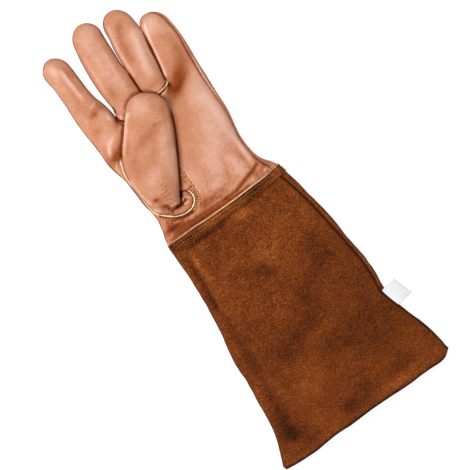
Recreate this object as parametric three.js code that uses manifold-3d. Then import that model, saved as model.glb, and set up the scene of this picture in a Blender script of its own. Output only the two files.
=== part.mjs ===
// A left leather gardening glove with a suede gauntlet cuff, lying on its back with the thumb folded over
// the palm. Millimetres: +Y runs from the cuff to the fingers, +X to the little finger's side and +Z out of
// the palm.

import * as THREE from 'three';
import { mergeVertices } from 'three/addons/utils/BufferGeometryUtils.js';
import Module from 'manifold-3d';

const manifoldLibrary = await Module();
manifoldLibrary.setup();

// Leather and seams
const leatherWall = 1.3;
const suedeWall = 1.6;
const hemWall = 3.0;
const pieceGap = 0.55;
const weltRadius = 0.85;
const weltLift = 0.55;
const floorRoom = 0.05;

// Lengths along the glove
const handStart = 1.3;
const knuckleStart = 84;
const knuckleEnd = 112;
const crotch = 116.3;
const bandTop = -1.3;
const bandEnd = -9;
const hemLine = -217.5;
const foldedHem = 7;

// Number of faces, and how much the palm's rows crowd towards the fingers
const rowSpread = 0.85;
const columnsPerFinger = 7;
const backColumns = 5;
const palmRows = 11;
const fingerRows = 6;
const tipRows = 5;
const cuffColumns = 14;
const cuffRows = 16;
const arcSamples = 72;
const shortStep = 0.003;
const weltSides = 6;

// Outline of the hand from above, its crown, and how far in from the right edge the side seam lies
const handTable = [
  { y: 0, left: -56.5, right: 61.5, crown: 19.5, seam: 6.5 },
  { y: 6, left: -55.3, right: 58.2, crown: 19.8, seam: 4.6 },
  { y: 14, left: -52.8, right: 52.8, crown: 20.3, seam: 2.4 },
  { y: 26, left: -51.4, right: 49.2, crown: 21, seam: 1.4 },
  { y: 40, left: -53.8, right: 48.1, crown: 21.6, seam: 1 },
  { y: 54, left: -54.4, right: 49.6, crown: 22, seam: 1.2 },
  { y: 66, left: -54.8, right: 51.4, crown: 22, seam: 1.9 },
  { y: 80, left: -58.2, right: 52.3, crown: 21.8, seam: 2.6 },
  { y: 100, left: -59.6, right: 52.9, crown: 21, seam: 3 },
  { y: 120, left: -60.5, right: 54, crown: 19.5, seam: 2.6 },
];

// The fingers: outline of each tube before its tip is rounded, and the crown of its palm side
const fingers = [
  {
    name: 'index', tip: 188.3, tipLength: 13, rows: [
      { y: 84, left: -58.5, right: -31, crown: 18 },
      { y: 118, left: -60.4, right: -31.1, crown: 17 },
      { y: 130, left: -61, right: -32.8, crown: 16.5 },
      { y: 140, left: -60.6, right: -36.2, crown: 16 },
      { y: 150, left: -60.3, right: -38.3, crown: 15.8 },
      { y: 165, left: -60.5, right: -39, crown: 15.5 },
      { y: 176, left: -62, right: -39.6, crown: 15 },
      { y: 189, left: -61.4, right: -40.6, crown: 14.5 },
    ],
  },
  {
    name: 'middle', tip: 198.5, tipLength: 15, rows: [
      { y: 84, left: -30.4, right: -0.8, crown: 19 },
      { y: 117, left: -30.2, right: -0.8, crown: 18.5 },
      { y: 121, left: -29, right: -0.8, crown: 18.4 },
      { y: 140, left: -29.8, right: -0.9, crown: 18 },
      { y: 152, left: -29.6, right: -1.4, crown: 17.6 },
      { y: 170, left: -28.2, right: -0.4, crown: 17 },
      { y: 184, left: -26.6, right: 0.5, crown: 16.5 },
      { y: 199, left: -26, right: 0.8, crown: 16 },
    ],
  },
  {
    name: 'ring', tip: 193.8, tipLength: 15, rows: [
      { y: 84, left: -0.2, right: 22.8, crown: 18.5 },
      { y: 116, left: -0.2, right: 22.6, crown: 18 },
      { y: 130, left: 0, right: 25.2, crown: 17.8 },
      { y: 143, left: 0.5, right: 27.2, crown: 17.5 },
      { y: 158, left: 1, right: 28.9, crown: 17 },
      { y: 166, left: 1.7, right: 29.5, crown: 16.8 },
      { y: 178, left: 2.7, right: 29, crown: 16.4 },
      { y: 194, left: 3.2, right: 28, crown: 16 },
    ],
  },
  {
    name: 'little', tip: 174.5, tipLength: 15, rows: [
      { y: 84, left: 23.4, right: 52.4, crown: 18 },
      { y: 116, left: 23.2, right: 53.7, crown: 17 },
      { y: 130, left: 25.8, right: 54.8, crown: 16.6 },
      { y: 143, left: 27.8, right: 55.3, crown: 16.2 },
      { y: 158, left: 29.5, right: 54.8, crown: 15.8 },
      { y: 166, left: 30.3, right: 53.6, crown: 15.4 },
      { y: 175, left: 30.8, right: 52, crown: 15 },
    ],
  },
];

// Lines that part the palm between the fingers
const fingerSplits = [-30.7, -0.5, 23];

// The seam across the base of the two middle fingers: along runs 0 to 1 over one finger, 1 to 2 over the next
const baseSeamTable = [
  { along: 0, y: 116 },
  { along: 0.25, y: 110.5 },
  { along: 0.6, y: 108.5 },
  { along: 1, y: 108 },
  { along: 1.4, y: 110.5 },
  { along: 1.75, y: 113 },
  { along: 2, y: 116 },
];

// Outline of the gauntlet, its crown, and how far in from the right edge the seam lies
const cuffTable = [
  { y: -220, left: -83, right: 88.5, crown: 27.5, seam: 3.4 },
  { y: -211, left: -80.3, right: 90.7, crown: 27, seam: 3.4 },
  { y: -203, left: -77.2, right: 90.4, crown: 26.4, seam: 3.4 },
  { y: -187, left: -72.3, right: 87.2, crown: 25.4, seam: 3.4 },
  { y: -165, left: -70, right: 80.8, crown: 24.4, seam: 3.4 },
  { y: -150, left: -68.6, right: 77.2, crown: 23.8, seam: 3.4 },
  { y: -137, left: -67.4, right: 76.2, crown: 23.4, seam: 3.4 },
  { y: -122, left: -66.4, right: 77.6, crown: 23, seam: 3.5 },
  { y: -105, left: -64.4, right: 77.8, crown: 22.6, seam: 3.8 },
  { y: -88, left: -61.8, right: 76.3, crown: 22.2, seam: 4 },
  { y: -62, left: -59.3, right: 73.2, crown: 21.6, seam: 4.2 },
  { y: -40, left: -57.8, right: 69.8, crown: 21, seam: 4.5 },
  { y: -20, left: -57, right: 66.2, crown: 20.5, seam: 5.3 },
  { y: 0, left: -56.5, right: 61.5, crown: 19.5, seam: 6.5 },
];
const leftSeamInset = 12;
const hemCorner = { from: 76, to: 92, high: 20, lift: 6 };

// The wrist line climbs a little towards the little finger's side, and this fades along the glove
const wristLine = { low: -1.4, lowX: -56, climb: 0.00026, fadeFrom: 5, fadeTo: 40 };

// Side seams of the hand: how far in they lie, as a length and as the largest share of a tube's half width
const fingerSeamInset = 1.2;
const largestInset = 0.3;
const crotchRoom = 1.5;
const backTipGap = 0.9;

// Soft dents of the upper side: place, depth, half length, half width and turn in degrees
const dents = [
  { x: 32, y: 106, deep: 3.4, long: 17, wide: 9, turn: 30 },
  { x: 38, y: 9, deep: 1.6, long: 14, wide: 3, turn: 18 },
  { x: -50, y: -40, deep: 2.6, long: 42, wide: 4.5, turn: 88 },
  { x: -52, y: -125, deep: 2.4, long: 48, wide: 5, turn: 93 },
  { x: -60, y: -188, deep: 2.4, long: 22, wide: 6, turn: 100 },
  { x: -22, y: -14, deep: 2.4, long: 24, wide: 3.4, turn: 2 },
  { x: 20, y: -175, deep: 3, long: 60, wide: 16, turn: 20 },
  { x: 46, y: -110, deep: 1.8, long: 30, wide: 14, turn: 60 },
];

// Dents fade out between these heights, so that the underside and the seams stay clear
const dentFloor = 13.5;
const dentFade = 5;

// The thumb: the loop where it is set into the palm, and the sections of its tube along the axis
const thumbLoop = [
  [-48.8, 81.3], [-52, 71], [-53.1, 62], [-52.3, 51], [-51.2, 42], [-50.3, 33.5], [-46.8, 26.2], [-41, 19.6],
  [-34.5, 15.2], [-27.5, 13], [-21.5, 13.5], [-16.7, 17], [-14.3, 22], [-15, 26.5], [-19, 30.8],
];
const thumbAxisStart = [-29.5, 67.2];
const thumbAxisDegrees = 56.4;
const thumbTable = [
  { along: 6, half: 23.6, crown: 36.8, under: 22.6 },
  { along: 15.5, half: 22.5, crown: 36.6, under: 22.6 },
  { along: 31, half: 20.9, crown: 35.8, under: 22.3 },
  { along: 47.5, half: 19.4, crown: 34, under: 21.6 },
  { along: 62, half: 18.6, crown: 33, under: 21.6 },
];
const thumbTip = 61.5;
const thumbTipLength = 14;
const thumbBendRows = 6;
const thumbBodyRows = 4;
const thumbFrontColumns = 12;
const thumbBackColumns = 6;
const thumbHole = { inset: 2.6, middle: [-34, 46], from: 8, depth: 30 };
const thumbBackInset = 0.08;

// Shares of a seam line that a panel stays short of it
const thumbEdgeRoom = 0.012;
const cuffEdgeRoom = 0.001;

// The strip round the wrist: its rows from the cuff's side up, and how far each stands proud of the cuff
const bandSteps = 40;
const bandSquash = 90;
const bandRows = [
  { share: 0, proud: 0.5 },
  { share: 0.5, proud: 0.8 },
  { share: 1, proud: 0.4 },
];

// Cords in the seams of the hand
const thumbWeltEnd = 0.98;
const baseWeltStart = 0.15;
const baseWeltEnd = 1.84;
const sideWelts = {
  index: { finger: 0, end: 176, out: -1, up: -0.4 },
  little: { finger: 3, end: 162, out: 1, up: 0.7 },
};
const sideWeltRadius = 0.6;
const sideWeltStart = 2.8;

// The blank tag sewn into the right seam of the cuff
const tag = { low: -155.5, high: -137, reach: 15.5, wall: 0.8, lift: 0.5, tilt: 2.5, droop: 5 };

const tanLeather = new THREE.MeshStandardMaterial({ color: 0xcd9678, roughness: 0.55, metalness: 0 });
const suedeLeather = new THREE.MeshStandardMaterial({ color: 0x7d4119, roughness: 0.95, metalness: 0 });
const creamPiping = new THREE.MeshStandardMaterial({ color: 0xf0d8a8, roughness: 0.6, metalness: 0 });
const whiteTag = new THREE.MeshStandardMaterial({ color: 0xf2f4f4, roughness: 0.8, metalness: 0 });

const mix = THREE.MathUtils.lerp;
const clamp = THREE.MathUtils.clamp;
const smoothstep = THREE.MathUtils.smoothstep;
const signedPower = (value, power) => Math.sign(value) * Math.abs(value) ** power;

// A smooth curve through one column of a table, by cubic pieces whose slopes come from the rows beside
function readTable(rows, key, column, at) {
  const ordered = rows[0][key] < rows.at(-1)[key] ? rows : [...rows].reverse();
  const last = ordered.length - 1;
  const place = clamp(at, ordered[0][key], ordered[last][key]);
  let low = 0;
  while (low < last - 1 && ordered[low + 1][key] < place) low += 1;
  const slope = (index) => {
    const before = ordered[Math.max(index - 1, 0)];
    const after = ordered[Math.min(index + 1, last)];
    return (after[column] - before[column]) / (after[key] - before[key]);
  };
  const start = ordered[low];
  const end = ordered[low + 1];
  const span = end[key] - start[key];
  const t = (place - start[key]) / span;
  const rise = t * t * (3 - 2 * t);
  return start[column] * (1 - rise) + end[column] * rise
    + span * slope(low) * t * (1 - t) ** 2 - span * slope(low + 1) * t * t * (1 - t);
}

// An oval section across the glove, squared a little above and flattened on the floor below
function makeOval({ left, right, crown, square, widest = 0.42, press = 1.6, under = 0 }) {
  const level = under + (crown - under) * widest;
  return { middle: (left + right) / 2, half: (right - left) / 2, crown, level, square, press, under };
}

function ovalPoint(oval, angle) {
  const up = Math.sin(angle);
  const reach = up >= 0 ? oval.crown - oval.level : oval.level - oval.under + oval.press;
  const x = oval.middle + oval.half * signedPower(Math.cos(angle), 2 / oval.square);
  const z = oval.level + reach * signedPower(up, 2 / oval.square);
  return [x, Math.max(z, oval.under)];
}

// The angle between 0 and 180 degrees at which an oval passes x
function angleAt(oval, x) {
  const side = clamp((x - oval.middle) / Math.max(oval.half, 0.001), -1, 1);
  return Math.acos(signedPower(side, oval.square / 2));
}

// The point at a share of the length of an arc of an oval
function alongOval(oval, from, to, share) {
  const points = [];
  const lengths = [0];
  for (let step = 0; step <= arcSamples; step += 1) {
    points.push(ovalPoint(oval, mix(from, to, step / arcSamples)));
    if (step > 0) {
      const [x0, z0] = points[step - 1];
      const [x1, z1] = points[step];
      lengths.push(lengths[step - 1] + Math.hypot(x1 - x0, z1 - z0));
    }
  }
  const total = lengths[arcSamples];
  if (total < pieceGap) return points[0];
  const trim = Math.min(pieceGap / 2, total / 8);
  const wanted = mix(trim, total - trim, share);
  let low = 0;
  while (low < arcSamples - 1 && lengths[low + 1] < wanted) low += 1;
  const t = (wanted - lengths[low]) / Math.max(lengths[low + 1] - lengths[low], 1e-6);
  return [mix(points[low][0], points[low + 1][0], t), mix(points[low][1], points[low + 1][1], t)];
}

const turnAll = Math.PI * 2;

function palmOval(y) {
  return makeOval({
    left: readTable(handTable, 'y', 'left', y),
    right: readTable(handTable, 'y', 'right', y),
    crown: readTable(handTable, 'y', 'crown', y),
    square: 2.8,
  });
}

function fingerOval(finger, y) {
  const into = (y - (finger.tip - finger.tipLength)) / finger.tipLength;
  const round = into > 0 ? Math.sqrt(Math.max(1 - into * into, 0)) : 1;
  const left = readTable(finger.rows, 'y', 'left', y);
  const right = readTable(finger.rows, 'y', 'right', y);
  const crown = readTable(finger.rows, 'y', 'crown', y);
  const middle = (left + right) / 2;
  const level = crown * 0.45;
  const under = level * 0.7 * (1 - round);
  return makeOval({
    left: mix(middle, left, round),
    right: mix(middle, right, round),
    crown: mix(level, crown, round),
    under,
    square: mix(2, 2.4, round),
    widest: 0.45,
    press: 0.8 * round,
  });
}

function cuffOval(y) {
  return makeOval({
    left: readTable(cuffTable, 'y', 'left', y),
    right: readTable(cuffTable, 'y', 'right', y),
    crown: readTable(cuffTable, 'y', 'crown', y),
    square: 2.3,
    widest: 0.34,
    press: 3,
  });
}

// How much of the four separate fingers shows in a section of the palm
const fingerShare = (y) => smoothstep(y, knuckleStart, knuckleEnd);

function sink(x, y, z) {
  let depth = 0;
  for (const dent of dents) {
    const turn = THREE.MathUtils.degToRad(dent.turn);
    const along = (x - dent.x) * Math.cos(turn) + (y - dent.y) * Math.sin(turn);
    const across = (y - dent.y) * Math.cos(turn) - (x - dent.x) * Math.sin(turn);
    depth += dent.deep * Math.exp(-((along / dent.long) ** 2) - (across / dent.wide) ** 2);
  }
  return z - depth * clamp((z - dentFloor) / dentFade, 0, 1);
}

function wristShift(x, y) {
  const rise = wristLine.low + wristLine.climb * (x - wristLine.lowX) ** 2;
  return rise * (1 - smoothstep(Math.abs(y), wristLine.fadeFrom, wristLine.fadeTo));
}

function seamAngles(finger, y) {
  const palm = palmOval(y);
  const tube = fingerOval(fingers[finger], y);
  const inset = Math.min(fingerSeamInset, tube.half * largestInset);
  const outerInset = Math.min(readTable(handTable, 'y', 'seam', y), tube.half * largestInset);
  const palmInset = readTable(handTable, 'y', 'seam', y);
  const leftEdge = palm.middle - palm.half + fingerSeamInset;
  const rightEdge = palm.middle + palm.half - palmInset;
  const under = turnAll - angleAt(palm, leftEdge);
  return {
    palm,
    tube,
    palmLeft: finger === 0 ? under : angleAt(palm, fingerSplits[finger - 1]),
    palmRight: finger === 3 ? angleAt(palm, rightEdge) : angleAt(palm, fingerSplits[finger]),
    tubeLeft: turnAll - angleAt(tube, tube.middle - tube.half + inset),
    tubeRight: finger === 3
      ? angleAt(tube, tube.middle + tube.half - outerInset)
      : -angleAt(tube, tube.middle + tube.half - inset),
  };
}

// A point of the palm side over one finger's strip, share 0 at its left seam and 1 at its right seam
function frontPoint(finger, share, y) {
  const seams = seamAngles(finger, y);
  const [palmX, palmZ] = alongOval(seams.palm, seams.palmLeft, seams.palmRight, share);
  const [tubeX, tubeZ] = alongOval(seams.tube, seams.tubeLeft, seams.tubeRight, share);
  const blend = fingerShare(y);
  const x = mix(palmX, tubeX, blend);
  const z = sink(x, y, mix(palmZ, tubeZ, blend));
  return new THREE.Vector3(x, y + wristShift(x, y), z);
}

// A point of the back side under one finger's strip, share 0 at its right seam and 1 at its left seam
function backPoint(finger, share, y) {
  const seams = seamAngles(finger, y);
  const palmFrom = finger === 3 ? seams.palmRight : -angleAt(seams.palm, fingerSplits[finger]);
  const palmTo = finger === 0 ? seams.palmLeft - turnAll : -angleAt(seams.palm, fingerSplits[finger - 1]);
  const [palmX, palmZ] = alongOval(seams.palm, palmFrom, palmTo, share);
  const [tubeX, tubeZ] = alongOval(seams.tube, seams.tubeRight, seams.tubeLeft - turnAll, share);
  const blend = fingerShare(y);
  const x = mix(palmX, tubeX, blend);
  return new THREE.Vector3(x, y + wristShift(x, y), mix(palmZ, tubeZ, blend));
}

// Where neighbouring strips are one piece of leather they meet halfway. Near the crotch the front keeps above
// that line and the back below it, so that both walls have room.
function joinStrips(a, b, y, facing) {
  const point = a.add(b).multiplyScalar(0.5);
  point.z += facing * crotchRoom * fingerShare(y);
  if (facing < 0) point.z = Math.max(point.z, 0);
  point.facing = new THREE.Vector3(0, 0, facing);
  return point;
}

function joinedFront(finger, share, y) {
  const left = share === 1 ? finger : finger - 1;
  if ((share === 1 || share === 0) && left >= 0 && left < 3) {
    return joinStrips(frontPoint(left, 1, y), frontPoint(left + 1, 0, y), y, 1);
  }
  return frontPoint(finger, share, y);
}

function joinedBack(finger, share, y) {
  const left = share === 0 ? finger : finger - 1;
  if ((share === 1 || share === 0) && left >= 0 && left < 3) {
    return joinStrips(backPoint(left, 0, y), backPoint(left + 1, 1, y), y, -1);
  }
  return backPoint(finger, share, y);
}

// A patch is a grid of points whose rows run along the glove and whose columns run across it. Each point
// keeps the way the surface faces there: across by a short step of the share, along by the rows beside.
function makePatch(rowCount, columnCount, pointAt) {
  const patch = [];
  for (let row = 0; row <= rowCount; row += 1) {
    const line = [];
    for (let column = 0; column <= columnCount; column += 1) {
      const share = column / columnCount;
      const inside = clamp(share, 2 * shortStep, 1 - 2 * shortStep);
      const before = Math.max(row - 1, 0);
      const after = Math.min(row + 1, rowCount);
      const across = pointAt(row / rowCount, inside + shortStep, row)
        .sub(pointAt(row / rowCount, inside - shortStep, row));
      const along = pointAt(after / rowCount, inside, after).sub(pointAt(before / rowCount, inside, before));
      const point = pointAt(row / rowCount, share, row);
      line.push({ point, facing: point.facing ?? across.cross(along).normalize() });
    }
    patch.push(line);
  }
  return patch;
}

// Patches that share edges become one sheet, which gets a wall on its inner side
function thicken(patches, wallAt) {
  const places = new Map();
  const outer = [];
  const facings = [];
  const triangles = [];
  const indexOf = ({ point, facing }) => {
    const key = [point.x, point.y, point.z].map((value) => value.toFixed(3)).join();
    if (!places.has(key)) {
      places.set(key, outer.length);
      outer.push(point.clone());
      facings.push(new THREE.Vector3());
    }
    facings[places.get(key)].add(facing);
    return places.get(key);
  };
  const addTriangle = (a, b, c) => {
    if (a !== b && b !== c && a !== c) triangles.push([a, b, c]);
  };
  for (const patch of patches) {
    const numbers = patch.map((line) => line.map(indexOf));
    for (let row = 0; row + 1 < numbers.length; row += 1) {
      for (let column = 0; column + 1 < numbers[row].length; column += 1) {
        const [a, b] = numbers[row].slice(column, column + 2);
        const [d, c] = numbers[row + 1].slice(column, column + 2);
        addTriangle(a, b, c);
        addTriangle(a, c, d);
      }
    }
  }
  const inner = outer.map((point, index) => (
    point.clone().addScaledVector(facings[index].normalize(), -wallAt(point))
  ));
  const count = outer.length;
  const faces = [];
  const edges = new Set();
  for (const [a, b, c] of triangles) {
    faces.push(a, b, c, count + a, count + c, count + b);
    for (const [from, to] of [[a, b], [b, c], [c, a]]) edges.add(`${from} ${to}`);
  }
  for (const edge of edges) {
    const [from, to] = edge.split(' ').map(Number);
    if (!edges.has(`${to} ${from}`)) faces.push(to, from, count + from, to, count + from, count + to);
  }
  return geometryFrom([...outer, ...inner], faces);
}

function geometryFrom(points, faces) {
  const geometry = new THREE.BufferGeometry();
  geometry.setFromPoints(points);
  geometry.setIndex(faces);
  geometry.computeVertexNormals();
  return geometry;
}

// A closed round cord along a path, or round a loop
function makeCord(path, radius, steps, loop = false) {
  const curve = new THREE.CatmullRomCurve3(path, loop);
  const frames = curve.computeFrenetFrames(steps, loop);
  const ringCount = loop ? steps : steps + 1;
  const points = [];
  for (let step = 0; step < ringCount; step += 1) {
    const centre = curve.getPointAt(step / steps);
    for (let side = 0; side < weltSides; side += 1) {
      const angle = (side / weltSides) * turnAll;
      points.push(centre.clone()
        .addScaledVector(frames.normals[step], Math.cos(angle) * radius)
        .addScaledVector(frames.binormals[step], Math.sin(angle) * radius));
    }
  }
  const faces = [];
  for (let step = 0; step < steps; step += 1) {
    const next = (step + 1) % ringCount;
    for (let side = 0; side < weltSides; side += 1) {
      const other = (side + 1) % weltSides;
      const a = step * weltSides + side;
      const b = step * weltSides + other;
      const c = next * weltSides + other;
      const d = next * weltSides + side;
      faces.push(a, b, c, a, c, d);
    }
  }
  if (!loop) {
    const last = (ringCount - 1) * weltSides;
    for (let side = 1; side + 1 < weltSides; side += 1) {
      faces.push(0, side + 1, side, last, last + side, last + side + 1);
    }
  }
  return geometryFrom(points, faces);
}

// Lengthwise places of the rows of a finger, closer together round its tip
function fingerPlaces(finger, start, end = finger.tip) {
  const bend = finger.tip - finger.tipLength;
  const places = [];
  for (let row = 0; row < fingerRows; row += 1) places.push(mix(start, bend, row / fingerRows));
  for (let row = 0; row <= tipRows; row += 1) {
    const angle = (row / tipRows) * (Math.PI / 2);
    places.push(Math.min(bend + finger.tipLength * Math.sin(angle), end));
  }
  return places;
}

const baseSeam = (along) => readTable(baseSeamTable, 'along', 'y', along);
const evenWall = (wall) => () => wall;

function makePalmPanel() {
  const endOf = (finger, share) => {
    if (finger === 1) return Math.min(baseSeam(share) - weltRadius - pieceGap / 2, crotch);
    if (finger === 2) return Math.min(baseSeam(1 + share) - weltRadius - pieceGap / 2, crotch);
    return crotch;
  };
  const patches = fingers.map((_, finger) => makePatch(palmRows, columnsPerFinger, (along, share) => {
    const inner = (finger === 0 && share === 1) || (finger === 3 && share === 0);
    const end = inner ? endOf(finger === 0 ? 1 : 2, finger === 0 ? 0 : 1) : endOf(finger, share);
    return joinedFront(finger, share, mix(handStart, end, along ** rowSpread));
  }));
  for (const finger of [0, 3]) {
    const places = fingerPlaces(fingers[finger], crotch);
    patches.push(makePatch(places.length - 1, columnsPerFinger, (along, share, row) => {
      const joined = row === 0 && share === (finger === 0 ? 1 : 0);
      if (joined) return joinedFront(finger, share, endOf(1, 0));
      return frontPoint(finger, share, places[row]);
    }));
  }
  return thicken(patches, evenWall(leatherWall));
}

function makeFingerFront(finger) {
  const tube = fingers[finger];
  return thicken([makePatch(fingerRows + tipRows, columnsPerFinger, (along, share, row) => {
    const start = baseSeam(finger - 1 + share) + weltRadius + pieceGap / 2;
    return frontPoint(finger, share, fingerPlaces(tube, start)[row]);
  })], evenWall(leatherWall));
}

function makeBackPanel() {
  const patches = fingers.map((_, finger) => makePatch(palmRows, backColumns, (along, share) => (
    joinedBack(finger, share, mix(handStart, crotch, along ** rowSpread))
  )));
  fingers.forEach((tube, finger) => {
    const places = fingerPlaces(tube, crotch, tube.tip - backTipGap);
    patches.push(makePatch(places.length - 1, backColumns, (along, share, row) => (
      row === 0 ? joinedBack(finger, share, crotch) : backPoint(finger, share, places[row])
    )));
  });
  return thicken(patches, evenWall(leatherWall));
}

function cuffSeams(y) {
  const oval = cuffOval(y);
  const seam = readTable(cuffTable, 'y', 'seam', y);
  return {
    oval,
    right: angleAt(oval, oval.middle + oval.half - seam),
    left: turnAll - angleAt(oval, oval.middle - oval.half + leftSeamInset),
  };
}

function cuffPoint(share, y, back) {
  const { oval, right, left } = cuffSeams(y);
  const [x, z] = back ? alongOval(oval, right, left - turnAll, share) : alongOval(oval, left, right, share);
  const rounded = hemCorner.lift * smoothstep(x, hemCorner.from, hemCorner.to)
    * (1 - smoothstep(y, hemLine, hemLine + hemCorner.high));
  const lowered = back ? z : sink(x, y, z);
  return new THREE.Vector3(x, y + wristShift(x, y) + rounded, lowered);
}

function makeCuffPanel(back) {
  const end = bandEnd - pieceGap;
  const foldEnd = hemLine + foldedHem;
  const wallAt = (point) => mix(hemWall, suedeWall, smoothstep(point.y, foldEnd, foldEnd + hemWall));
  return thicken([makePatch(cuffRows, cuffColumns, (along, share) => (
    cuffPoint(mix(cuffEdgeRoom, 1 - cuffEdgeRoom, share), mix(hemLine, end, along), back)
  ))], wallAt);
}

// The suede strip round the wrist, a little proud of the cuff. Where it lies on the floor its outside keeps
// to the floor, and its wall goes straight up.
function makeCuffBand() {
  const steps = bandSteps;
  const places = bandRows.map((row) => mix(bandEnd, bandTop, row.share));
  const proud = bandRows.map((row) => row.proud);
  const inward = suedeWall + pieceGap;
  const ring = (step, place, offset) => {
    const oval = cuffOval(place);
    const [x, z] = alongOval(oval, turnAll, 0, step / steps);
    const sideways = (x - oval.middle) / oval.half ** 2;
    const away = new THREE.Vector2(sideways, (z - oval.level) / bandSquash).normalize();
    const flat = z < floorRoom;
    const out = flat ? 0 : offset;
    const lift = flat && offset < 0 ? -offset : 0;
    const height = Math.max(z + away.y * out + lift, 0);
    return new THREE.Vector3(x + away.x * out, place + wristShift(x, place), height);
  };
  const points = [];
  for (let step = 0; step < steps; step += 1) {
    places.forEach((place, row) => points.push(ring(step, place, proud[row])));
    [...places].reverse().forEach((place) => points.push(ring(step, place, -inward)));
  }
  const sides = places.length * 2;
  const faces = [];
  for (let step = 0; step < steps; step += 1) {
    const next = (step + 1) % steps;
    for (let side = 0; side < sides; side += 1) {
      const other = (side + 1) % sides;
      const a = step * sides + side;
      const b = next * sides + side;
      const c = next * sides + other;
      const d = step * sides + other;
      faces.push(a, b, c, a, c, d);
    }
  }
  return geometryFrom(points, faces);
}

// Height of the palm's upper side, for what lies on it
function palmHeight(x, y) {
  const oval = palmOval(y);
  return sink(x, y, ovalPoint(oval, angleAt(oval, x))[1]);
}

const thumbCurve = new THREE.SplineCurve(thumbLoop.map(([x, y]) => new THREE.Vector2(x, y)));

// A point beside the thumb's seam: share 0 to 1 runs down the left, round the bottom and up under the thumb
function besideThumbSeam(share, inward) {
  const { x, y } = thumbCurve.getPointAt(share);
  const tangent = thumbCurve.getTangentAt(share);
  return [x - tangent.y * inward, y + tangent.x * inward];
}

// The edge of the thumb's leather just inside the seam cord, clear of the palm on both sides of its wall
function thumbEdgePoint(share) {
  const inset = weltRadius + pieceGap;
  const [x, y] = besideThumbSeam(share, inset);
  const [deepX, deepY] = besideThumbSeam(share, inset + leatherWall);
  return new THREE.Vector3(x, y, Math.max(palmHeight(x, y), palmHeight(deepX, deepY)) + 1.5 * pieceGap);
}

// A point of the thumb's tube: share 0 at its left edge and 1 at its right edge, over the top or underneath
function thumbTubePoint(share, along, underneath) {
  const into = (along - (thumbTip - thumbTipLength)) / thumbTipLength;
  const round = into > 0 ? Math.sqrt(Math.max(1 - into * into, 0)) : 1;
  const half = readTable(thumbTable, 'along', 'half', along) * round;
  const crown = readTable(thumbTable, 'along', 'crown', along);
  const under = readTable(thumbTable, 'along', 'under', along);
  const level = mix(under, crown, 0.36);
  const oval = makeOval({
    left: -half,
    right: half,
    crown: mix(level, crown, round),
    under: mix(level, under, round),
    square: 2.3,
    widest: 0.36,
    press: 1.5 * round,
  });
  const [across, z] = half > 0.01
    ? alongOval(oval, Math.PI, underneath ? turnAll : 0, share)
    : [0, level];
  const turn = THREE.MathUtils.degToRad(thumbAxisDegrees);
  return new THREE.Vector3(
    thumbAxisStart[0] + along * Math.cos(turn) + across * Math.sin(turn),
    thumbAxisStart[1] + along * Math.sin(turn) - across * Math.cos(turn),
    z,
  );
}

function thumbRowPlaces() {
  const straight = thumbTip - thumbTipLength;
  const places = [];
  for (let row = 0; row <= thumbBodyRows; row += 1) {
    places.push(mix(thumbTable[0].along, straight, row / thumbBodyRows));
  }
  for (let row = 1; row <= tipRows; row += 1) {
    places.push(straight + thumbTipLength * Math.sin((row / tipRows) * (Math.PI / 2)));
  }
  return places;
}

// The thumb rises from its loop in quarter arcs, turns over and lies along its axis
function thumbPoint(share, row, underneath) {
  const places = thumbRowPlaces();
  if (row >= thumbBendRows) return thumbTubePoint(share, places[row - thumbBendRows], underneath);
  const bend = (row / thumbBendRows) * (Math.PI / 2);
  const start = underneath
    ? thumbEdgePoint(0).lerp(thumbEdgePoint(1), mix(thumbBackInset, 1 - thumbBackInset, share))
    : thumbEdgePoint(share);
  if (underneath) start.z = Math.max(start.z, palmHeight(start.x, start.y) + pieceGap);
  const end = thumbTubePoint(share, thumbTable[0].along, underneath);
  return new THREE.Vector3(
    mix(start.x, end.x, 1 - Math.cos(bend)),
    mix(start.y, end.y, 1 - Math.cos(bend)),
    mix(start.z, end.z, Math.sin(bend)),
  );
}

function makeThumbFront() {
  const rows = thumbBendRows + thumbBodyRows + tipRows;
  return thicken([makePatch(rows, thumbFrontColumns, (along, share, row) => thumbPoint(share, row, false))],
    evenWall(leatherWall));
}

function makeThumbBack() {
  const rows = thumbBendRows + thumbBodyRows + tipRows - 1;
  return thicken([makePatch(rows, thumbBackColumns, (along, share, row) => (
    thumbPoint(mix(1 - thumbEdgeRoom, thumbEdgeRoom, share), row, true)
  ))],
    evenWall(leatherWall));
}

// The cord in the thumb's seam, which leans outward where the palm turns down at its edge
function makeThumbWelt() {
  const path = [];
  for (let step = 0; step <= 24; step += 1) {
    const { x, y } = thumbCurve.getPointAt(thumbWeltEnd * step / 24);
    const oval = palmOval(y);
    const lean = 1.6 * ((x - oval.middle) / oval.half) ** 11;
    const away = new THREE.Vector3(lean, 0, 1).normalize();
    path.push(new THREE.Vector3(x, y, palmHeight(x, y)).addScaledVector(away, weltRadius + pieceGap));
  }
  return makeCord(path, weltRadius, 30);
}

// The cord in the seam across the base of the two middle fingers
function makeBaseWelt() {
  const path = [];
  for (let step = 0; step <= 20; step += 1) {
    const along = mix(baseWeltStart, baseWeltEnd, step / 20);
    const finger = along < 1 ? 1 : 2;
    const point = joinedFront(finger, along - (finger - 1), baseSeam(along));
    path.push(point.setZ(point.z + weltLift));
  }
  return makeCord(path, weltRadius, 28);
}

function makeSideWelt({ finger, end, out, up }) {
  const path = [];
  for (let step = 0; step <= 30; step += 1) {
    const point = frontPoint(finger, out > 0 ? 1 : 0, mix(sideWeltStart, end, step / 30));
    path.push(point.add(new THREE.Vector3(out, 0, up)));
  }
  return makeCord(path, sideWeltRadius, 40);
}

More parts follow.
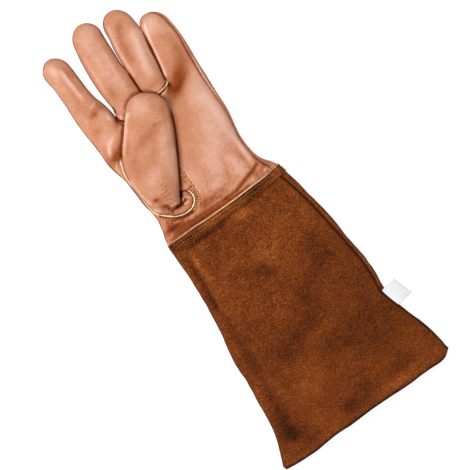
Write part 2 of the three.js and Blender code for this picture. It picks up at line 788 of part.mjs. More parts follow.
function makeWristWelt() {
  const steps = 40;
  const path = [];
  for (let step = 0; step < steps; step += 1) {
    const oval = cuffOval(0);
    const [x, z] = alongOval(oval, turnAll, 0, step / steps);
    const height = Math.max(z + (z > oval.level ? weltLift : 0), weltRadius + floorRoom);
    path.push(new THREE.Vector3(x, wristShift(x, 0), height));
  }
  return makeCord(path, weltRadius, 52, true);
}

function makeTag() {
  return thicken([makePatch(4, 4, (along, share) => {
    const y = mix(tag.low, tag.high, along);
    const { oval, right } = cuffSeams(y);
    const [seamX, seamZ] = ovalPoint(oval, right);
    const height = seamZ + tag.wall + tag.lift - tag.droop * share ** 1.5;
    return new THREE.Vector3(seamX + tag.lift + share * tag.reach, y + share * tag.tilt, height);
  })], evenWall(tag.wall));
}

function toManifold(geometry) {
  const bare = geometry.clone();
  bare.deleteAttribute('normal');
  const merged = mergeVertices(bare, 1e-4);
  return new manifoldLibrary.Manifold(new manifoldLibrary.Mesh({
    numProp: 3,
    vertProperties: new Float32Array(merged.attributes.position.array),
    triVerts: new Uint32Array(merged.index.array),
  }));
}

function fromManifold(solid) {
  const mesh = solid.getMesh();
  const geometry = new THREE.BufferGeometry();
  geometry.setAttribute('position', new THREE.BufferAttribute(mesh.vertProperties, mesh.numProp));
  geometry.setIndex(new THREE.BufferAttribute(mesh.triVerts, 1));
  return geometry;
}

// The thumb's hole through the palm, a little inside its seam loop
function cutThumbHole(palm) {
  const middle = new THREE.Vector2(...thumbHole.middle);
  const corners = thumbCurve.getSpacedPoints(16).map((point) => {
    const inward = middle.clone().sub(point);
    return point.clone().addScaledVector(inward.normalize(), thumbHole.inset);
  });
  const sides = { depth: thumbHole.depth, bevelEnabled: false };
  const prism = new THREE.ExtrudeGeometry(new THREE.Shape(corners), sides);
  prism.deleteAttribute('uv');
  prism.translate(0, 0, thumbHole.from);
  return fromManifold(toManifold(palm).subtract(toManifold(prism)));
}

const glove = new THREE.Group();

function addPiece(name, geometry, material) {
  const mesh = new THREE.Mesh(geometry, material);
  mesh.name = name;
  glove.add(mesh);
}

addPiece('palm_panel', cutThumbHole(makePalmPanel()), tanLeather);
addPiece('middle_finger_front', makeFingerFront(1), tanLeather);
addPiece('ring_finger_front', makeFingerFront(2), tanLeather);
addPiece('back_panel', makeBackPanel(), tanLeather);
addPiece('thumb_front', makeThumbFront(), tanLeather);
addPiece('thumb_back', makeThumbBack(), tanLeather);
addPiece('thumb_welt', makeThumbWelt(), creamPiping);
addPiece('finger_base_welt', makeBaseWelt(), creamPiping);
addPiece('index_side_welt', makeSideWelt(sideWelts.index), tanLeather);
addPiece('little_side_welt', makeSideWelt(sideWelts.little), tanLeather);
addPiece('wrist_welt', makeWristWelt(), creamPiping);
addPiece('cuff_band', makeCuffBand(), suedeLeather);
addPiece('cuff_front', makeCuffPanel(false), suedeLeather);
addPiece('cuff_back', makeCuffPanel(true), suedeLeather);
addPiece('cuff_tag', makeTag(), whiteTag);

// The origin is at the middle of the outline, on the floor
const bounds = new THREE.Box3().setFromObject(glove);
const middle = bounds.getCenter(new THREE.Vector3());
glove.position.set(-middle.x, -middle.y, -bounds.min.z);

export default glove;
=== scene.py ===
# A long leather gardening glove for the left hand, lying on its back with the thumb folded over the palm.
# Shapes are worked out in millimetres in the glove's own drawing and placed in the frame in metres.
# In the drawing y runs from the cuff to the fingers, x to the little finger's side and z out of the palm,
# and the wrist seam lies at y 0.
import math

import bpy
import numpy as np
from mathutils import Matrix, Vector
from mathutils.bvhtree import BVHTree


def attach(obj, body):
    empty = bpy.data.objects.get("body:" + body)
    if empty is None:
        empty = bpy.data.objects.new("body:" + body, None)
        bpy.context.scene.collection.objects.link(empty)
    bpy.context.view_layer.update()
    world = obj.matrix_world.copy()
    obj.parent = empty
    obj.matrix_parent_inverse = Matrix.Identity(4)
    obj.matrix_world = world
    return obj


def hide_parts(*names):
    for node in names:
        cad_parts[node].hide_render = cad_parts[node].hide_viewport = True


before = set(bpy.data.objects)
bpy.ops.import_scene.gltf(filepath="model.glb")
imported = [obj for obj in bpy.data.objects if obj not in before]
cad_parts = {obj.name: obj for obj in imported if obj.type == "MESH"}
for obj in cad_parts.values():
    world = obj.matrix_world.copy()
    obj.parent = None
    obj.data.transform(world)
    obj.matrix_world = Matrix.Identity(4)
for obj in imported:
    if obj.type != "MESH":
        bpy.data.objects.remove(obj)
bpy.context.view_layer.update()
print("frame loaded:", len(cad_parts), "nodes")

# The drawing's point that the frame puts at its origin
drawing = {"middleX": 4.368, "middleY": -9.977, "scale": 0.001}
fullTurn = 2 * math.pi


# Small tools

def toFrame(points):
    # millimetres of the drawing to metres of the frame
    shift = np.array([drawing["middleX"], drawing["middleY"], 0.0])
    return (np.asarray(points, float) - shift) * drawing["scale"]


def mix(low, high, share):
    return low + (high - low) * share


def smooth(value, low, high):
    t = np.clip((value - low) / (high - low), 0, 1)
    return t * t * (3 - 2 * t)


def signedPower(value, power):
    return np.sign(value) * np.abs(value) ** power


def linesThrough(rows, at):
    # straight lines through pairs of a place and a value
    return np.interp(at, *np.array(rows, float).T)


def tableOf(names, rows):
    # rows of numbers with a name for each column
    return [dict(zip(names.split(), row)) for row in rows]


def bell(value, middle, wide):
    return np.exp(-((value - middle) / wide) ** 2)


def unit(vectors):
    # rows of vectors, each of length 1
    return vectors / np.maximum(np.linalg.norm(vectors, axis=1, keepdims=True), 1e-9)


def lengthAlong(points):
    # how far each point lies along its line from the first one
    steps = np.linalg.norm(np.diff(points, axis=-2), axis=-1)
    return np.concatenate([0 * steps[..., :1], np.cumsum(steps, axis=-1)], axis=-1)


def column(rows, key):
    return np.array([row[key] for row in rows], float)


def readTable(rows, key, name, at):
    # cubic pieces through one column of a table, with slopes from the rows beside
    keys, values = column(rows, key), column(rows, name)
    order = np.argsort(keys)
    keys, values = keys[order], values[order]
    last = len(keys) - 1
    before = np.maximum(np.arange(last + 1) - 1, 0)
    after = np.minimum(np.arange(last + 1) + 1, last)
    slopes = (values[after] - values[before]) / (keys[after] - keys[before])
    at = np.clip(at, keys[0], keys[-1])
    low = np.clip(np.searchsorted(keys, at, side="right") - 1, 0, last - 1)
    span = keys[low + 1] - keys[low]
    t = (at - keys[low]) / span
    rise = t * t * (3 - 2 * t)
    bend = slopes[low] * t * (1 - t) ** 2 - slopes[low + 1] * t * t * (1 - t)
    return values[low] * (1 - rise) + values[low + 1] * rise + span * bend


noiseLattice = {"cells": 64, "shiftX": 900.3, "shiftY": 700.7}


def softNoise(x, y, size, seed):
    # random heights on a square lattice, blended smoothly between its corners, about -1 to 1
    cells = noiseLattice["cells"]
    lattice = np.random.default_rng(seed).uniform(-1, 1, (cells, cells))
    u, v = x / size + noiseLattice["shiftX"], y / size + noiseLattice["shiftY"]
    i, j = np.floor(u).astype(int), np.floor(v).astype(int)
    a, b = u - i, v - j
    a, b = a * a * (3 - 2 * a), b * b * (3 - 2 * b)
    i0, i1, j0, j1 = i % cells, (i + 1) % cells, j % cells, (j + 1) % cells
    low = mix(lattice[i0, j0], lattice[i1, j0], a)
    high = mix(lattice[i0, j1], lattice[i1, j1], a)
    return mix(low, high, b)


def spot(x, y, deep, long, wide, turn, tone, bow=0):
    # a hollow seen from above: its depth, half length and half width, the degrees it is turned, and its tone
    return {"x": x, "y": y, "deep": deep, "long": long, "wide": wide, "turn": turn, "tone": tone, "bow": bow}


def crease(line, deep, wide, tone, fade=0.12):
    # a hollow along given points; each end runs out over fade, a share of the whole line
    return {"line": line, "deep": deep, "wide": wide, "tone": tone, "fade": fade}


def stitchRow(thread, line, pitch, share, radius, deep, wide, tone):
    # a row of stitches, one every pitch and share of it long, with the crease that they pull into the leather
    return dict(crease(line, deep, wide, tone), thread=thread, pitch=pitch, share=share, radius=radius)


def spotField(x, y, row):
    # a bell curve along and across a turned line that may be bowed, 1 at its middle
    turn = math.radians(row["turn"])
    along = (x - row["x"]) * math.cos(turn) + (y - row["y"]) * math.sin(turn)
    across = (y - row["y"]) * math.cos(turn) - (x - row["x"]) * math.sin(turn)
    across = across - row["bow"] * along ** 2
    return np.exp(-(along / row["long"]) ** 2 - (across / row["wide"]) ** 2)


curveSteps = {"piece": 24, "crease": 240, "loop": 400, "stitches": 300}


def lineField(x, y, row):
    # a bell curve across a smooth line through given points, fading out at the line's two ends
    line = splinePoints(row["line"], curveSteps["crease"])
    reach = 3 * row["wide"]
    near = ((x > line[:, 0].min() - reach) & (x < line[:, 0].max() + reach)
            & (y > line[:, 1].min() - reach) & (y < line[:, 1].max() + reach))
    field = np.zeros(x.shape)
    if not near.any():
        return field
    away = np.stack([x[near], y[near]], axis=1)[:, None] - line[None]
    nearest = np.argmin(np.sum(away ** 2, axis=2), axis=1)
    ahead = unit(np.gradient(line, axis=0))
    gap = away[np.arange(len(nearest)), nearest]
    direction = ahead[nearest]
    across = gap[:, 0] * direction[:, 1] - gap[:, 1] * direction[:, 0]
    past = gap[:, 0] * direction[:, 0] + gap[:, 1] * direction[:, 1]
    share = nearest / (len(line) - 1)
    ends = smooth(share, 0, row["fade"]) * smooth(1 - share, 0, row["fade"])
    field[near] = ends * np.exp(-(across / row["wide"]) ** 2 - (past / row["wide"]) ** 2)
    return field


def foldField(x, y, row):
    return lineField(x, y, row) if "line" in row else spotField(x, y, row)


def foldsAt(x, y, rows):
    # how deep all the rows press in together, and their tones together
    fields = [(row, foldField(x, y, row)) for row in rows]
    return [sum((row[key] * field for row, field in fields), 0 * x) for key in ("deep", "tone")]


def splinePoints(points, count):
    # a smooth curve through given points, evenly spaced along its length
    points = np.asarray(points, float)
    ends = np.vstack([2 * points[0] - points[1], points, 2 * points[-1] - points[-2]])
    t = np.linspace(0, 1, curveSteps["piece"], endpoint=False)[:, None, None]
    p0, p1, p2, p3 = ends[:-3], ends[1:-2], ends[2:-1], ends[3:]
    curve = 0.5 * (2 * p1 + (p2 - p0) * t + (2 * p0 - 5 * p1 + 4 * p2 - p3) * t ** 2
                   + (3 * p1 - p0 - 3 * p2 + p3) * t ** 3)
    dense = np.vstack([curve.transpose(1, 0, 2).reshape(-1, points.shape[1]), points[-1:]])
    return evenly(dense, count)


def evenly(line, count):
    # the same line with points an equal way apart
    length = lengthAlong(line)
    wanted = np.linspace(0, length[-1], count)
    return np.stack([np.interp(wanted, length, line[:, k]) for k in range(line.shape[1])], axis=1)


# Meshes from grids

def weld(grids, step=0.002):
    # grids of points become one sheet: points that coincide are one, and squares that shrink are triangles
    points, fields, squares, start = [], [], [], 0
    for grid in grids:
        rows, columns = grid["points"].shape[:2]
        number = np.arange(rows * columns).reshape(rows, columns) + start
        start += rows * columns
        points.append(grid["points"].reshape(-1, 3))
        fields.append(grid["edge"].reshape(-1))
        squares.append(np.stack([number[:-1, :-1], number[:-1, 1:], number[1:, 1:], number[1:, :-1]],
                                axis=-1).reshape(-1, 4))
    points, fields, squares = np.vstack(points), np.concatenate(fields), np.vstack(squares)
    keys = np.round(points / step).astype(np.int64)
    _, first, number = np.unique(keys, axis=0, return_index=True, return_inverse=True)
    number = number.ravel()
    edge = np.full(len(first), -1.0)
    np.maximum.at(edge, number, fields)
    squares = number[squares]
    same = squares == np.roll(squares, -1, axis=1)
    whole = squares[~same.any(axis=1)]
    halves = squares[same.sum(axis=1) == 1]
    keep = ~same[same.sum(axis=1) == 1]
    triangles = halves[keep].reshape(-1, 3)
    return points[first], edge, [whole, triangles]


def sheetNormals(points, faces):
    # the sum of the normals of the faces round each point
    normals = np.zeros_like(points)
    for group in faces:
        if len(group) == 0:
            continue
        a, b, c = points[group[:, 0]], points[group[:, 1]], points[group[:, 2]]
        d = points[group[:, -1]]
        across = np.cross(c - a, d - b) if group.shape[1] == 4 else np.cross(b - a, c - a)
        for corner in range(group.shape[1]):
            np.add.at(normals, group[:, corner], across)
    return unit(normals)


def makeObject(name, points, faces, material, replaced=(), marks=None):
    # points in millimetres of the drawing and groups of faces become a shown piece of the glove; marks are
    # values at its points, for its material
    mesh = bpy.data.meshes.new(name)
    mesh.from_pydata(toFrame(points).tolist(), [], [list(f) for group in faces for f in group.tolist()])
    mesh.polygons.foreach_set("use_smooth", np.ones(len(mesh.polygons), bool))
    for key, values in (marks or {}).items():
        attribute = mesh.attributes.new(key, "FLOAT", "POINT")
        attribute.data.foreach_set("value", np.asarray(values, np.float32))
    mesh.materials.append(material)
    mesh.update()
    piece = bpy.data.objects.new(name, mesh)
    bpy.context.scene.collection.objects.link(piece)
    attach(piece, "root")
    if replaced:
        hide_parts(*replaced)
    return piece


def addWall(piece, thick):
    # the sheet gets a wall on its inner side
    wall = piece.modifiers.new("wall", "SOLIDIFY")
    wall.thickness = thick * drawing["scale"]
    wall.offset = -1
    wall.use_even_offset = False
    return piece


def cordMesh(line, radius, sides, swell, up=(0, 0, 1), closed=False):
    # a round section carried along a line, its sides turned about the line's own direction
    line = np.asarray(line, float)
    if closed:
        ahead = np.roll(line, -1, axis=0) - np.roll(line, 1, axis=0)
    else:
        ahead = np.gradient(line, axis=0)
    ahead = unit(ahead)
    side = unit(np.cross(ahead, np.broadcast_to(np.asarray(up, float), line.shape)))
    top = np.cross(side, ahead)
    angle = np.linspace(0, fullTurn, sides, endpoint=False)
    size = radius * swell[:, None, None]
    ring = (side[:, None] * np.cos(angle)[None, :, None]
            + top[:, None] * np.sin(angle)[None, :, None]) * size
    points = (line[:, None] + ring).reshape(-1, 3)
    number = np.arange(len(points)).reshape(len(line), sides)
    after = np.roll(number, -1, axis=0) if closed else number[1:]
    here = number if closed else number[:-1]
    faces = np.stack([here, after, np.roll(after, -1, axis=1), np.roll(here, -1, axis=1)], axis=-1)
    groups = [faces.reshape(-1, 4)]
    if not closed:
        groups += [number[:1], number[-1:, ::-1]]
    return points, groups


def joinMeshes(parts):
    # several (points, groups of faces) as one
    points, groups, start = [], {}, 0
    for partPoints, partGroups in parts:
        points.append(partPoints)
        for group in partGroups:
            if len(group):
                groups.setdefault(group.shape[1], []).append(group + start)
        start += len(partPoints)
    return np.vstack(points), [np.vstack(group) for group in groups.values()]


# Outline of the hand from above, its crown, and how far in from the right edge the side seam lies
handTable = tableOf("y left right crown seam", [
    (0, -56.5, 61.5, 19.5, 6.5), (6, -55.3, 58.2, 19.8, 4.6), (14, -52.8, 52.8, 20.3, 2.4),
    (26, -51.4, 49.2, 21, 1.4), (40, -53.8, 48.1, 21.6, 1), (54, -54.4, 50.2, 22, 1.2),
    (66, -55.4, 52.5, 22, 1.9), (80, -59, 53.2, 21.8, 2.6), (100, -60.2, 53.7, 21, 3),
    (120, -61.2, 55, 19.5, 2.6),
])

fingers = [
    # index
    {"tip": 189, "tipLength": 13, "rows": tableOf("y left right crown", [
        (84, -58.5, -31, 18), (118, -61.1, -31.1, 17), (130, -61.7, -32.8, 16.5),
        (140, -61.3, -36, 16), (150, -61.1, -37.4, 15.8), (165, -61.2, -38, 15.5),
        (176, -62.8, -38.9, 15), (189, -62, -40.2, 14.5),
    ])},
    # middle
    {"tip": 198.5, "tipLength": 15, "rows": tableOf("y left right crown", [
        (84, -30.4, -0.8, 19), (117, -30.2, -0.25, 18.5), (121, -29, 0.2, 18.4),
        (130, -29.9, 0.5, 18.2), (138, -30.3, 0.4, 18), (152, -30.3, -0.9, 17.6),
        (170, -28.8, 0, 17), (184, -26.6, 0.5, 16.5), (199, -26, 0.8, 16),
    ])},
    # ring
    {"tip": 193.8, "tipLength": 15, "rows": tableOf("y left right crown", [
        (84, -0.2, 22.8, 18.5), (116, -0.3, 22.9, 18), (130, -0.9, 25.5, 17.8),
        (140, -0.8, 27.5, 17.5), (150, -0.5, 28.8, 17.2), (158, 0.1, 29.9, 17),
        (166, 0.8, 30.2, 16.8), (178, 2.6, 29.2, 16.4), (194, 3.2, 28, 16),
    ])},
    # little
    {"tip": 174.5, "tipLength": 15, "tipPower": 2.5, "rows": tableOf("y left right crown", [
        (84, 23.4, 52.9, 18), (116, 22.8, 54.7, 17), (130, 25.35, 55.5, 16.6),
        (143, 27.2, 55.9, 16.2), (158, 29.1, 54.8, 15.8), (166, 29.3, 53.2, 15.4),
        (175, 30.2, 50.6, 15),
    ])},
]

# The seam across the base of the two middle fingers: along runs 0 to 1 over one finger, 1 to 2 over the next
baseSeamTable = tableOf("along y", [
    (0, 115.6), (0.02, 113), (0.06, 109.9), (0.14, 107.9), (0.3, 107.2), (0.6, 107.6), (1, 108),
    (1.3, 110.1), (1.46, 111), (1.61, 111.5), (1.74, 112.6), (1.865, 114.5), (1.95, 115.7),
    (2, 116.3),
])

# The same for the gauntlet
cuffTable = tableOf("y left right crown seam", [
    (-220, -83, 92.2, 27.5, 0.8), (-211, -80.6, 92.6, 27, 0.8), (-203, -77.9, 92.2, 26.4, 0.8),
    (-187, -72.9, 88.9, 25.4, 0.9), (-165, -69.5, 82.5, 24.4, 1.2), (-150, -68, 78.6, 23.8, 2.8),
    (-137, -67.4, 76.2, 23.4, 3.4), (-122, -67.1, 77.6, 23, 3.5), (-105, -64.4, 77.8, 22.6, 3.8),
    (-88, -61.8, 76.3, 22.2, 4), (-62, -59.3, 73.2, 21.6, 4.2), (-40, -57.8, 70.2, 21, 4.5),
    (-20, -57, 66.2, 20.5, 5.3), (0, -56.5, 61.5, 19.5, 6.5),
])

# Places along the glove and across its seams, walls, and how square and how flat the ovals are
form = {
    "handStart": 0.3, "knuckleStart": 84, "knuckleEnd": 112, "crotch": 116.3,
    "palmStart": 104, "palmEnd": 116.5, "knuckleBlend": 0.35,
    "seamRoom": 0.6, "closedRoom": 0.08, "roomFrom": 0.12, "roomTo": 0.24,
    "bandTop": -0.85, "bandEnd": -9, "hemLine": -217.5, "hemFold": 7,
    "gap": 0.3, "leatherWall": 1.3, "suedeWall": 1.6,
    "fingerInset": 1.2, "cuffInset": 12, "largestInset": 0.3,
    "sideSeamShare": 0.6, "sideSeamFrom": 125, "sideSeamTo": 145,
    "palmSquare": 2.8, "cuffSquare": 2.3, "cuffWidest": 0.34, "cuffPress": 3,
    "fingerSquare": 2.3, "tipSquare": 2, "fingerWidest": 0.5, "fingerPress": 0.8, "tipUnder": 0.7,
    "splits": [-30.7, -0.5, 23], "dentFloor": 11.0, "dentFade": 5, "arcSteps": 500,
}


# Oval sections

def makeOval(left, right, crown, square, widest=0.42, press=1.6, under=0.0):
    # an oval squared a little above and pressed flat on the floor below; every value may be a column of rows
    level = under + (crown - under) * widest
    parts = [(left + right) / 2, (right - left) / 2, crown, level, square, press, under]
    parts = np.broadcast_arrays(*[np.asarray(part, float) for part in parts])
    names = ["middle", "half", "crown", "level", "square", "press", "under"]
    return {key: part.reshape(-1, 1) for key, part in zip(names, parts)}


def ovalPoint(oval, angle):
    up = np.sin(angle)
    reach = np.where(up >= 0, oval["crown"] - oval["level"], oval["level"] - oval["under"] + oval["press"])
    x = oval["middle"] + oval["half"] * signedPower(np.cos(angle), 2 / oval["square"])
    z = oval["level"] + reach * signedPower(up, 2 / oval["square"])
    return x, np.maximum(z, oval["under"])


def angleAt(oval, x):
    # the angle from 0 to half a turn at which the oval passes x
    side = np.clip((np.reshape(x, (-1, 1)) - oval["middle"]) / np.maximum(oval["half"], 1e-3), -1, 1)
    return np.arccos(signedPower(side, oval["square"] / 2))


def alongOval(oval, start, end, shares):
    # points at shares of the length of an arc, a row of them for each section, and the arcs' lengths
    t = np.linspace(0, 1, form["arcSteps"])
    x, z = ovalPoint(oval, start + (end - start) * t)
    steps = np.hypot(np.diff(x, axis=1), np.diff(z, axis=1))
    length = np.concatenate([np.zeros((len(x), 1)), np.cumsum(steps, axis=1)], axis=1)
    total = length[:, -1:]
    trim = np.minimum(form["gap"] / 2, total / 8)
    wanted = (trim + (total - 2 * trim) * shares) / np.maximum(total, 1e-9)
    # all rows are looked up in one line, each row two further along it than the row before
    offset = 2.0 * np.arange(len(x))[:, None]
    line = (length / np.maximum(total, 1e-9) + offset).ravel()
    place = (wanted + offset).ravel()
    x, z = [np.interp(place, line, values.ravel()).reshape(wanted.shape) for values in (x, z)]
    return x, z, total


def outlineAt(rows, y):
    return [readTable(rows, "y", name, y) for name in ("left", "right", "crown")]


def palmOval(y):
    return makeOval(*outlineAt(handTable, y), form["palmSquare"])


def fingerOval(finger, y):
    # full is 1 along the finger and falls to 0 at its tip, where the oval shrinks to a point
    into = (y - (finger["tip"] - finger["tipLength"])) / finger["tipLength"]
    power = finger.get("tipPower", 2)
    full = (1 - np.clip(into, 0, 1) ** power) ** (1 / power)
    left, right, crown = outlineAt(finger["rows"], y)
    middle, level = (left + right) / 2, crown * form["fingerWidest"]
    return makeOval(mix(middle, left, full), mix(middle, right, full), mix(level, crown, full),
                    mix(form["tipSquare"], form["fingerSquare"], full), form["fingerWidest"],
                    form["fingerPress"] * full, level * form["tipUnder"] * (1 - full))


def cuffOval(y):
    return makeOval(*outlineAt(cuffTable, y), form["cuffSquare"], form["cuffWidest"], form["cuffPress"])


# The wrist line climbs a little towards the little finger's side, and this fades along the glove
wristLine = {
    "low": -1.4, "reach": 60, "rise": 4.0, "most": 1.1, "power": 3, "bump": 0.5, "bumpX": 32, "bumpWide": 9,
    "fadeFrom": 5, "fadeTo": 40,
}


def wristShift(x, y):
    shape = wristLine
    rise = shape["low"] + shape["rise"] * np.clip(x / shape["reach"], 0, shape["most"]) ** shape["power"]
    rise = rise + shape["bump"] * bell(x, shape["bumpX"], shape["bumpWide"])
    return rise * (1 - smooth(np.abs(y), shape["fadeFrom"], shape["fadeTo"]))


def fingerShare(finger, shares, y, back):
    # 0 where the hand is one oval, 1 where it is a finger's own tube; the palm stays one oval for longer
    if back:
        return smooth(y, form["knuckleStart"], form["knuckleEnd"])
    outer = {0: shares, 3: 1 - shares}.get(finger, 1 + 0 * shares)
    inner = smooth(outer, 0, form["knuckleBlend"])
    start = mix(form["knuckleStart"], form["palmStart"], inner)
    end = mix(form["knuckleEnd"], form["palmEnd"], inner)
    return smooth(y, start, end)


def seamAngles(finger, y):
    # where one finger's strip starts and ends round the palm's oval and round the finger's own tube
    palm, tube = palmOval(y), fingerOval(fingers[finger], y)
    seam = readTable(handTable, "y", "seam", y).reshape(-1, 1)
    inset = np.minimum(form["fingerInset"], tube["half"] * form["largestInset"])
    outer = np.minimum(seam, tube["half"] * form["largestInset"])
    fade = smooth(y, form["sideSeamFrom"], form["sideSeamTo"])
    outer = outer * mix(1, form["sideSeamShare"], fade).reshape(-1, 1)
    left = fullTurn - angleAt(palm, palm["middle"] - palm["half"] + form["fingerInset"])
    right = angleAt(palm, palm["middle"] + palm["half"] - seam)
    rows = np.ones_like(y)
    return {
        "palm": palm,
        "tube": tube,
        "palmLeft": left if finger == 0 else angleAt(palm, form["splits"][finger - 1] * rows),
        "palmRight": right if finger == 3 else angleAt(palm, form["splits"][finger] * rows),
        "tubeLeft": fullTurn - angleAt(tube, tube["middle"] - tube["half"] + inset),
        "tubeRight": (angleAt(tube, tube["middle"] + tube["half"] - outer) if finger == 3
                      else -angleAt(tube, tube["middle"] + tube["half"] - inset)),
    }


def stripPoints(finger, shares, y, back=False):
    # one finger's strip of the palm or back: the palm's oval turns into the finger's own tube at the knuckles
    y = np.asarray(y, float)
    seams = seamAngles(finger, y[:, 0])
    palm, tube = seams["palm"], seams["tube"]
    rows = np.ones(len(y))
    if back:
        start = seams["palmRight"] if finger == 3 else -angleAt(palm, form["splits"][finger] * rows)
        end = (seams["palmLeft"] - fullTurn if finger == 0
               else -angleAt(palm, form["splits"][finger - 1] * rows))
        tubeStart, tubeEnd = seams["tubeRight"], seams["tubeLeft"] - fullTurn
    else:
        start, end = seams["palmLeft"], seams["palmRight"]
        tubeStart, tubeEnd = seams["tubeLeft"], seams["tubeRight"]
    palmX, palmZ, palmWidth = alongOval(palm, start, end, shares)
    tubeX, tubeZ, tubeWidth = alongOval(tube, tubeStart, tubeEnd, shares)
    blend = fingerShare(finger, shares, y, back)
    x, z = mix(palmX, tubeX, blend), mix(palmZ, tubeZ, blend)
    width = mix(palmWidth, tubeWidth, blend)
    return np.stack([x, y + wristShift(x, y), z], axis=-1), width


def joinedStrips(make, ends, columns, back=False):
    # the four strips of one leather; neighbours meet halfway between their two edges
    grids = []
    shares = sharesOf(columns)
    along = np.linspace(0, 1, panelGrid["palmRows"] + 1)[:, None] ** panelGrid["crowding"]
    for finger in range(4):
        grids.append(make(finger, shares, mix(form["handStart"], ends(finger, shares), along)))
    right, left = (0, -1) if back else (-1, 0)
    for low, high in zip(grids[:-1], grids[1:]):
        middle = (low["points"][:, right] + high["points"][:, left]) / 2
        low["points"][:, right] = middle
        high["points"][:, left] = middle
    return grids


def sharesOf(columns):
    return np.linspace(0, 1, columns + 1)[None, :]


def rowsY(y, shares):
    return np.broadcast_to(y[:, None], (len(y), shares.shape[1])).copy()


def stripAt(finger, shares, y, back=False):
    # as stripPoints, but each point may have its own y: a row is worked out at its lowest and its highest y
    y = np.broadcast_to(y, (y.shape[0], shares.shape[1]))
    low, high = y.min(axis=1), y.max(axis=1)
    lowPoints, width = stripPoints(finger, shares, rowsY(low, shares), back)
    if np.allclose(low, high):
        return lowPoints, width
    highPoints, _ = stripPoints(finger, shares, rowsY(high, shares), back)
    share = ((y - low[:, None]) / np.maximum(high - low, 1e-9)[:, None])[..., None]
    return mix(lowPoints, highPoints, share), width


def seamDistance(shares, width, sewn=(True, True)):
    # millimetres from each point to the panel's nearer seam; sewn says which of its two sides have one
    far = np.full(np.broadcast_shapes(shares.shape, width.shape), 99.0)
    left = shares * width if sewn[0] else far
    right = (1 - shares) * width if sewn[1] else far
    return np.minimum(left, right) + 0 * far


def fingerPlaces(finger):
    # rows from the crotch to the end of a finger, closer together where its tip rounds off
    bend = finger["tip"] - finger["tipLength"]
    body = np.linspace(form["crotch"], bend, panelGrid["fingerRows"], endpoint=False)
    turn = np.linspace(0, math.pi / 2, panelGrid["tipRows"] + 1)
    tip = bend + finger["tipLength"] * np.sin(turn)
    return np.concatenate([body, np.minimum(tip, finger["tip"])])
